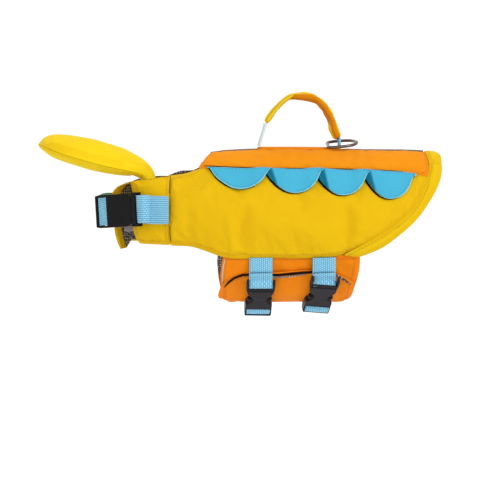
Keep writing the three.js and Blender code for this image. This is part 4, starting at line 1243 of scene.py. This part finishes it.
def scallop_shadow_strip(number, scallop):
    """The dark strip that shows along a scallop's front edge, as painted shadow."""
    middle = (scallop["from"] + scallop["to"]) / 2
    half = (scallop["to"] - scallop["from"]) / 2
    places = []
    wide = []
    for share in (-0.97, -0.9, -0.75, -0.6, -0.45, -0.3, -0.1, 0.1, 0.3, 0.5):
        x = middle + half * share
        edge = seam_height(x) - (seam_height(x) - scallop["low"]) * droop(share)
        places.append((SEEN_ORIGIN[0] + x / SEEN_SCALE - 0.35, SEEN_ORIGIN[1] - edge / SEEN_SCALE + 0.35))
        wide.append(0.5 + 1.9 * math.exp(-(((share + 0.6) / 0.42) ** 2)))
    return {**SEAM_LINE, "name": f"scallop_lining_{number}", "on": (side_cloth,), "thick": 0.5, "both": True,
            "places": places, "wide": wide}


STRIPS += [scallop_shadow_strip(number, scallop) for number, scallop in enumerate(SCALLOPS, start=1)]
for strip in STRIPS:
    made = laid_strip(strip["name"], strip["places"], [w * MM for w in strip["wide"]], strip["on"],
                      strip["thick"] * MM, strip["material"], strip["slot"])
    if strip.get("both"):
        dressed(mirrored(made, f"{strip['name']}_right"), "jacket", strip["slot"], strip["material"])


# Side-release buckles, in millimetres along from the webbing bar, across, and out
BELLY_BUCKLE = {
    "male": [(0.0, 14.4), (6.0, 14.2), (10.0, 12.0), (14.0, 8.6), (17.2, 7.2)],
    "female": [(17.5, 7.2), (21.5, 7.4), (25.0, 10.2), (28.5, 14.2), (46.0, 14.4), (48.6, 13.8)],
    "window": (37.2, 47.2, 12.9),
    "rail": (12.9, 15.4),
    "male_out": (-3.0, 6.9),
    "female_out": (-4.0, 5.6),
    "pads": (18.6, 10.4, 3.3),
    "ear": 6.0,
}
NECK_BUCKLE = {
    "male": [(0.0, 17.8), (4.5, 17.6), (8.0, 15.4), (11.4, 12.6)],
    "female": [(11.7, 12.6), (15.0, 15.4), (18.6, 17.8), (59.0, 17.8), (64.0, 16.8)],
    "window": (48.0, 60.2, 15.4),
    "rail": (15.2, 18.4),
    "male_out": (-3.4, 7.0),
    "female_out": (-4.5, 5.8),
    "pads": (12.0, 14.2, 2.4),
    "ear": 1.6,
}
BODY_STARTS = 5.6
BAR_LONG = 6.4
PAD_HEIGHT = 3.6
EASED = 0.7
BELLY = {"material": GREY, "slot": "grey_buckle", "side": (1, 0, 0), "kind": BELLY_BUCKLE}
BUCKLES = [
    {**BELLY, "name": "belly_front", "up": -3.4, "from": (-46.2, -47.2, -139.8), "to": (-47.6, -9.0, -170.1)},
    {**BELLY, "name": "belly_rear", "up": -7.2, "from": (21.6, -49.8, -138.2), "to": (14.6, -10.8, -166.8)},
    {"name": "neck", "material": BLACK, "slot": "black_buckle", "side": (0, 0, -1), "kind": NECK_BUCKLE,
     "up": 4.6, "from": (-173.5, -53.5, -56.5), "to": (-217.5, -9.5, -61.5)},
]


def buckle_frame(buckle):
    start = Vector(buckle["from"]) * MM
    along = (Vector(buckle["to"]) * MM - start).normalized()
    wide = Vector(buckle["side"])
    wide = (wide - along * wide.dot(along)).normalized()
    return start, along, wide, along.cross(wide)


def add_slab(work, outline, window, low, high):
    """An outline, with a window in it if there is one, made into a slab."""
    edges = []
    for loop in (outline, window):
        verts = [work.verts.new((x, y, low)) for x, y in loop]
        edges += [work.edges.new((a, b)) for a, b in zip(verts, verts[1:] + verts[:1])]
    filled = bmesh.ops.triangle_fill(work, use_beauty=True, use_dissolve=False, edges=edges)
    faces = [item for item in filled["geom"] if isinstance(item, bmesh.types.BMFace)]
    grown = bmesh.ops.extrude_face_region(work, geom=faces)
    verts = [item for item in grown["geom"] if isinstance(item, bmesh.types.BMVert)]
    bmesh.ops.translate(work, verts=verts, vec=(0.0, 0.0, high - low))


def both_sides(half):
    return [(x, -y) for x, y in half] + [(x, y) for x, y in reversed(half)]


def box_outline(x0, x1, y0, y1):
    return [(x0, y0), (x1, y0), (x1, y1), (x0, y1)]


def moulding(buckle, name, slabs, material, bevel, *nodes):
    """Slabs in the buckle's own frame, with eased edges."""
    start, along, wide, out = buckle_frame(buckle)
    work = bmesh.new()
    for slab in slabs:
        add_slab(work, *slab)
    for vert in work.verts:
        x, y, z = vert.co
        vert.co = start + (along * x + wide * y + out * z) * MM
    bmesh.ops.recalc_face_normals(work, faces=work.faces)
    bmesh.ops.dissolve_limit(work, angle_limit=math.radians(2), verts=work.verts, edges=work.edges)
    mesh = bpy.data.meshes.new(name)
    work.to_mesh(mesh)
    work.free()
    piece = linked(name, mesh)
    eased = piece.modifiers.new("eased", "BEVEL")
    eased.width = bevel * MM
    eased.segments = 3
    eased.limit_method = "ANGLE"
    eased.angle_limit = math.radians(28)
    eased.harden_normals = False
    settle(piece)
    return dressed(piece, "jacket", buckle["slot"], material, *nodes)


def press_pads(buckle):
    """The rounded ends of the prongs, which are pressed to open the buckle."""
    start, along, wide, out = buckle_frame(buckle)
    place, aside, size = buckle["kind"]["pads"]
    work = bmesh.new()
    for turn in (-1, 1):
        middle = start + (along * place + wide * turn * aside + out * PAD_HEIGHT) * MM
        made = bmesh.ops.create_icosphere(work, subdivisions=3, radius=1.0)
        for vert in made["verts"]:
            x, y, z = vert.co
            flatter = 1.0 - 0.25 * max(0.0, -y * turn)
            vert.co = middle + (along * x * 1.25 * flatter + wide * y + out * z * flatter) * size * MM
    mesh = bpy.data.meshes.new(f"{buckle['name']}_press_pads")
    work.to_mesh(mesh)
    work.free()
    piece = linked(mesh.name, mesh)
    smooth_shaded(piece)
    return dressed(piece, "jacket", buckle["slot"], BLACK)


for buckle in BUCKLES:
    kind = buckle["kind"]
    name = buckle["name"]
    material = buckle["material"]
    start, along, wide, out = buckle_frame(buckle)
    up = buckle["up"]
    low, high = kind["male_out"]
    near, far = kind["rail"]
    male = [(x if x > 5 else x + up, y) for x, y in kind["male"]]
    slabs = [(both_sides([(max(x, BODY_STARTS + up), y) for x, y in male]), (), low, high)]
    for turn in (-1, 1):
        rail = box_outline(up - kind["ear"], BAR_LONG + up, turn * near, turn * far)
        slabs.append((rail, (), low + 1.2, high - 1.2))
    moulding(buckle, f"{name}_buckle_male_moulding", slabs, material, EASED, f"{name}_buckle_male")
    bar = box_outline(up + 0.2, up + 6.2, -near - 0.4, near + 0.4)
    moulding(buckle, f"{name}_web_bar", [(bar, (), high - 1.7, high - 0.5)], BLACK, 0.4)
    low, high = kind["female_out"]
    x0, x1, half = kind["window"]
    body = (both_sides(kind["female"]), box_outline(x0, x1, -half, half), low, high)
    moulding(buckle, f"{name}_buckle_female_moulding", [body], material, EASED, f"{name}_buckle_female")
    webbing = box_outline(x0 - 0.6, x1 - 0.4, 0.4 - half, half - 0.4)
    loop = moulding(buckle, f"{name}_web_loop", [(webbing, (), high - 2.2, high - 0.9)], WEBBING, 0.3)
    spots = (points_of(loop) - np.array(start)) @ np.array([along, wide, out]).T
    spots[:, 2] = 0.01
    layer = loop.data.attributes.new("cloth", "FLOAT_VECTOR", "POINT")
    layer.data.foreach_set("vector", spots.ravel())
    press_pads(buckle)


# Leash ring, leaning toward the near side
RING_TILT = 0.12

work = welded("leash_ring")
ring = refined(work, "leash_ring_wire", 1, 0.0)
work.free()
spots = points_of(ring)
spots[:, 2] += (spots[:, 1] - spots[:, 1].mean()) * RING_TILT
put_points(ring, spots)
smooth_shaded(ring)
dressed(ring, "leash_ring", "steel_ring", STEEL, "leash_ring")

# Floor, light and camera
FLOOR_HALF = 60.0
FLOOR_HEIGHT = -0.42
floor_mesh = bpy.data.meshes.new("floor")
corners = [(x * FLOOR_HALF, y * FLOOR_HALF, FLOOR_HEIGHT) for x, y in ((-1, -1), (1, -1), (1, 1), (-1, 1))]
floor_mesh.from_pydata(corners, [], [(0, 1, 2, 3)])
floor = linked("floor", floor_mesh)
floor_finish = Finish("floor_paint")
floor.data.materials.append(floor_finish.wear(Base_Color=(0.93, 0.93, 0.93), Roughness=0.9))

world = bpy.data.worlds.new("studio")
bpy.context.scene.world = world
world.use_nodes = True
world.node_tree.nodes["Background"].inputs["Color"].default_value = (1.0, 1.0, 1.0, 1.0)
world.node_tree.nodes["Background"].inputs["Strength"].default_value = 0.86


def soft_sun(name, toward, strength, spread):
    data = bpy.data.lights.new(name, "SUN")
    data.energy = strength
    data.angle = math.radians(spread)
    lamp = bpy.data.objects.new(name, data)
    lamp.rotation_euler = (-Vector(toward)).to_track_quat("-Z", "Y").to_euler()
    bpy.context.scene.collection.objects.link(lamp)


soft_sun("key", (0.75, -0.75, 0.85), 1.25, 24.0)
soft_sun("rim", (-0.5, 0.9, 0.6), 0.45, 40.0)

camera_data = bpy.data.cameras.new("camera")
camera_data.sensor_width = SENSOR
camera_data.lens = CAMERA_AWAY * SENSOR / PICTURE_WIDE
camera_data.clip_end = 200.0
camera = bpy.data.objects.new("camera", camera_data)
camera.location = EYE
camera.rotation_euler = (-TOWARD_CAMERA).to_track_quat("-Z", "Y").to_euler()
bpy.context.scene.collection.objects.link(camera)
bpy.context.scene.camera = camera
bpy.context.scene.view_settings.view_transform = "Standard"
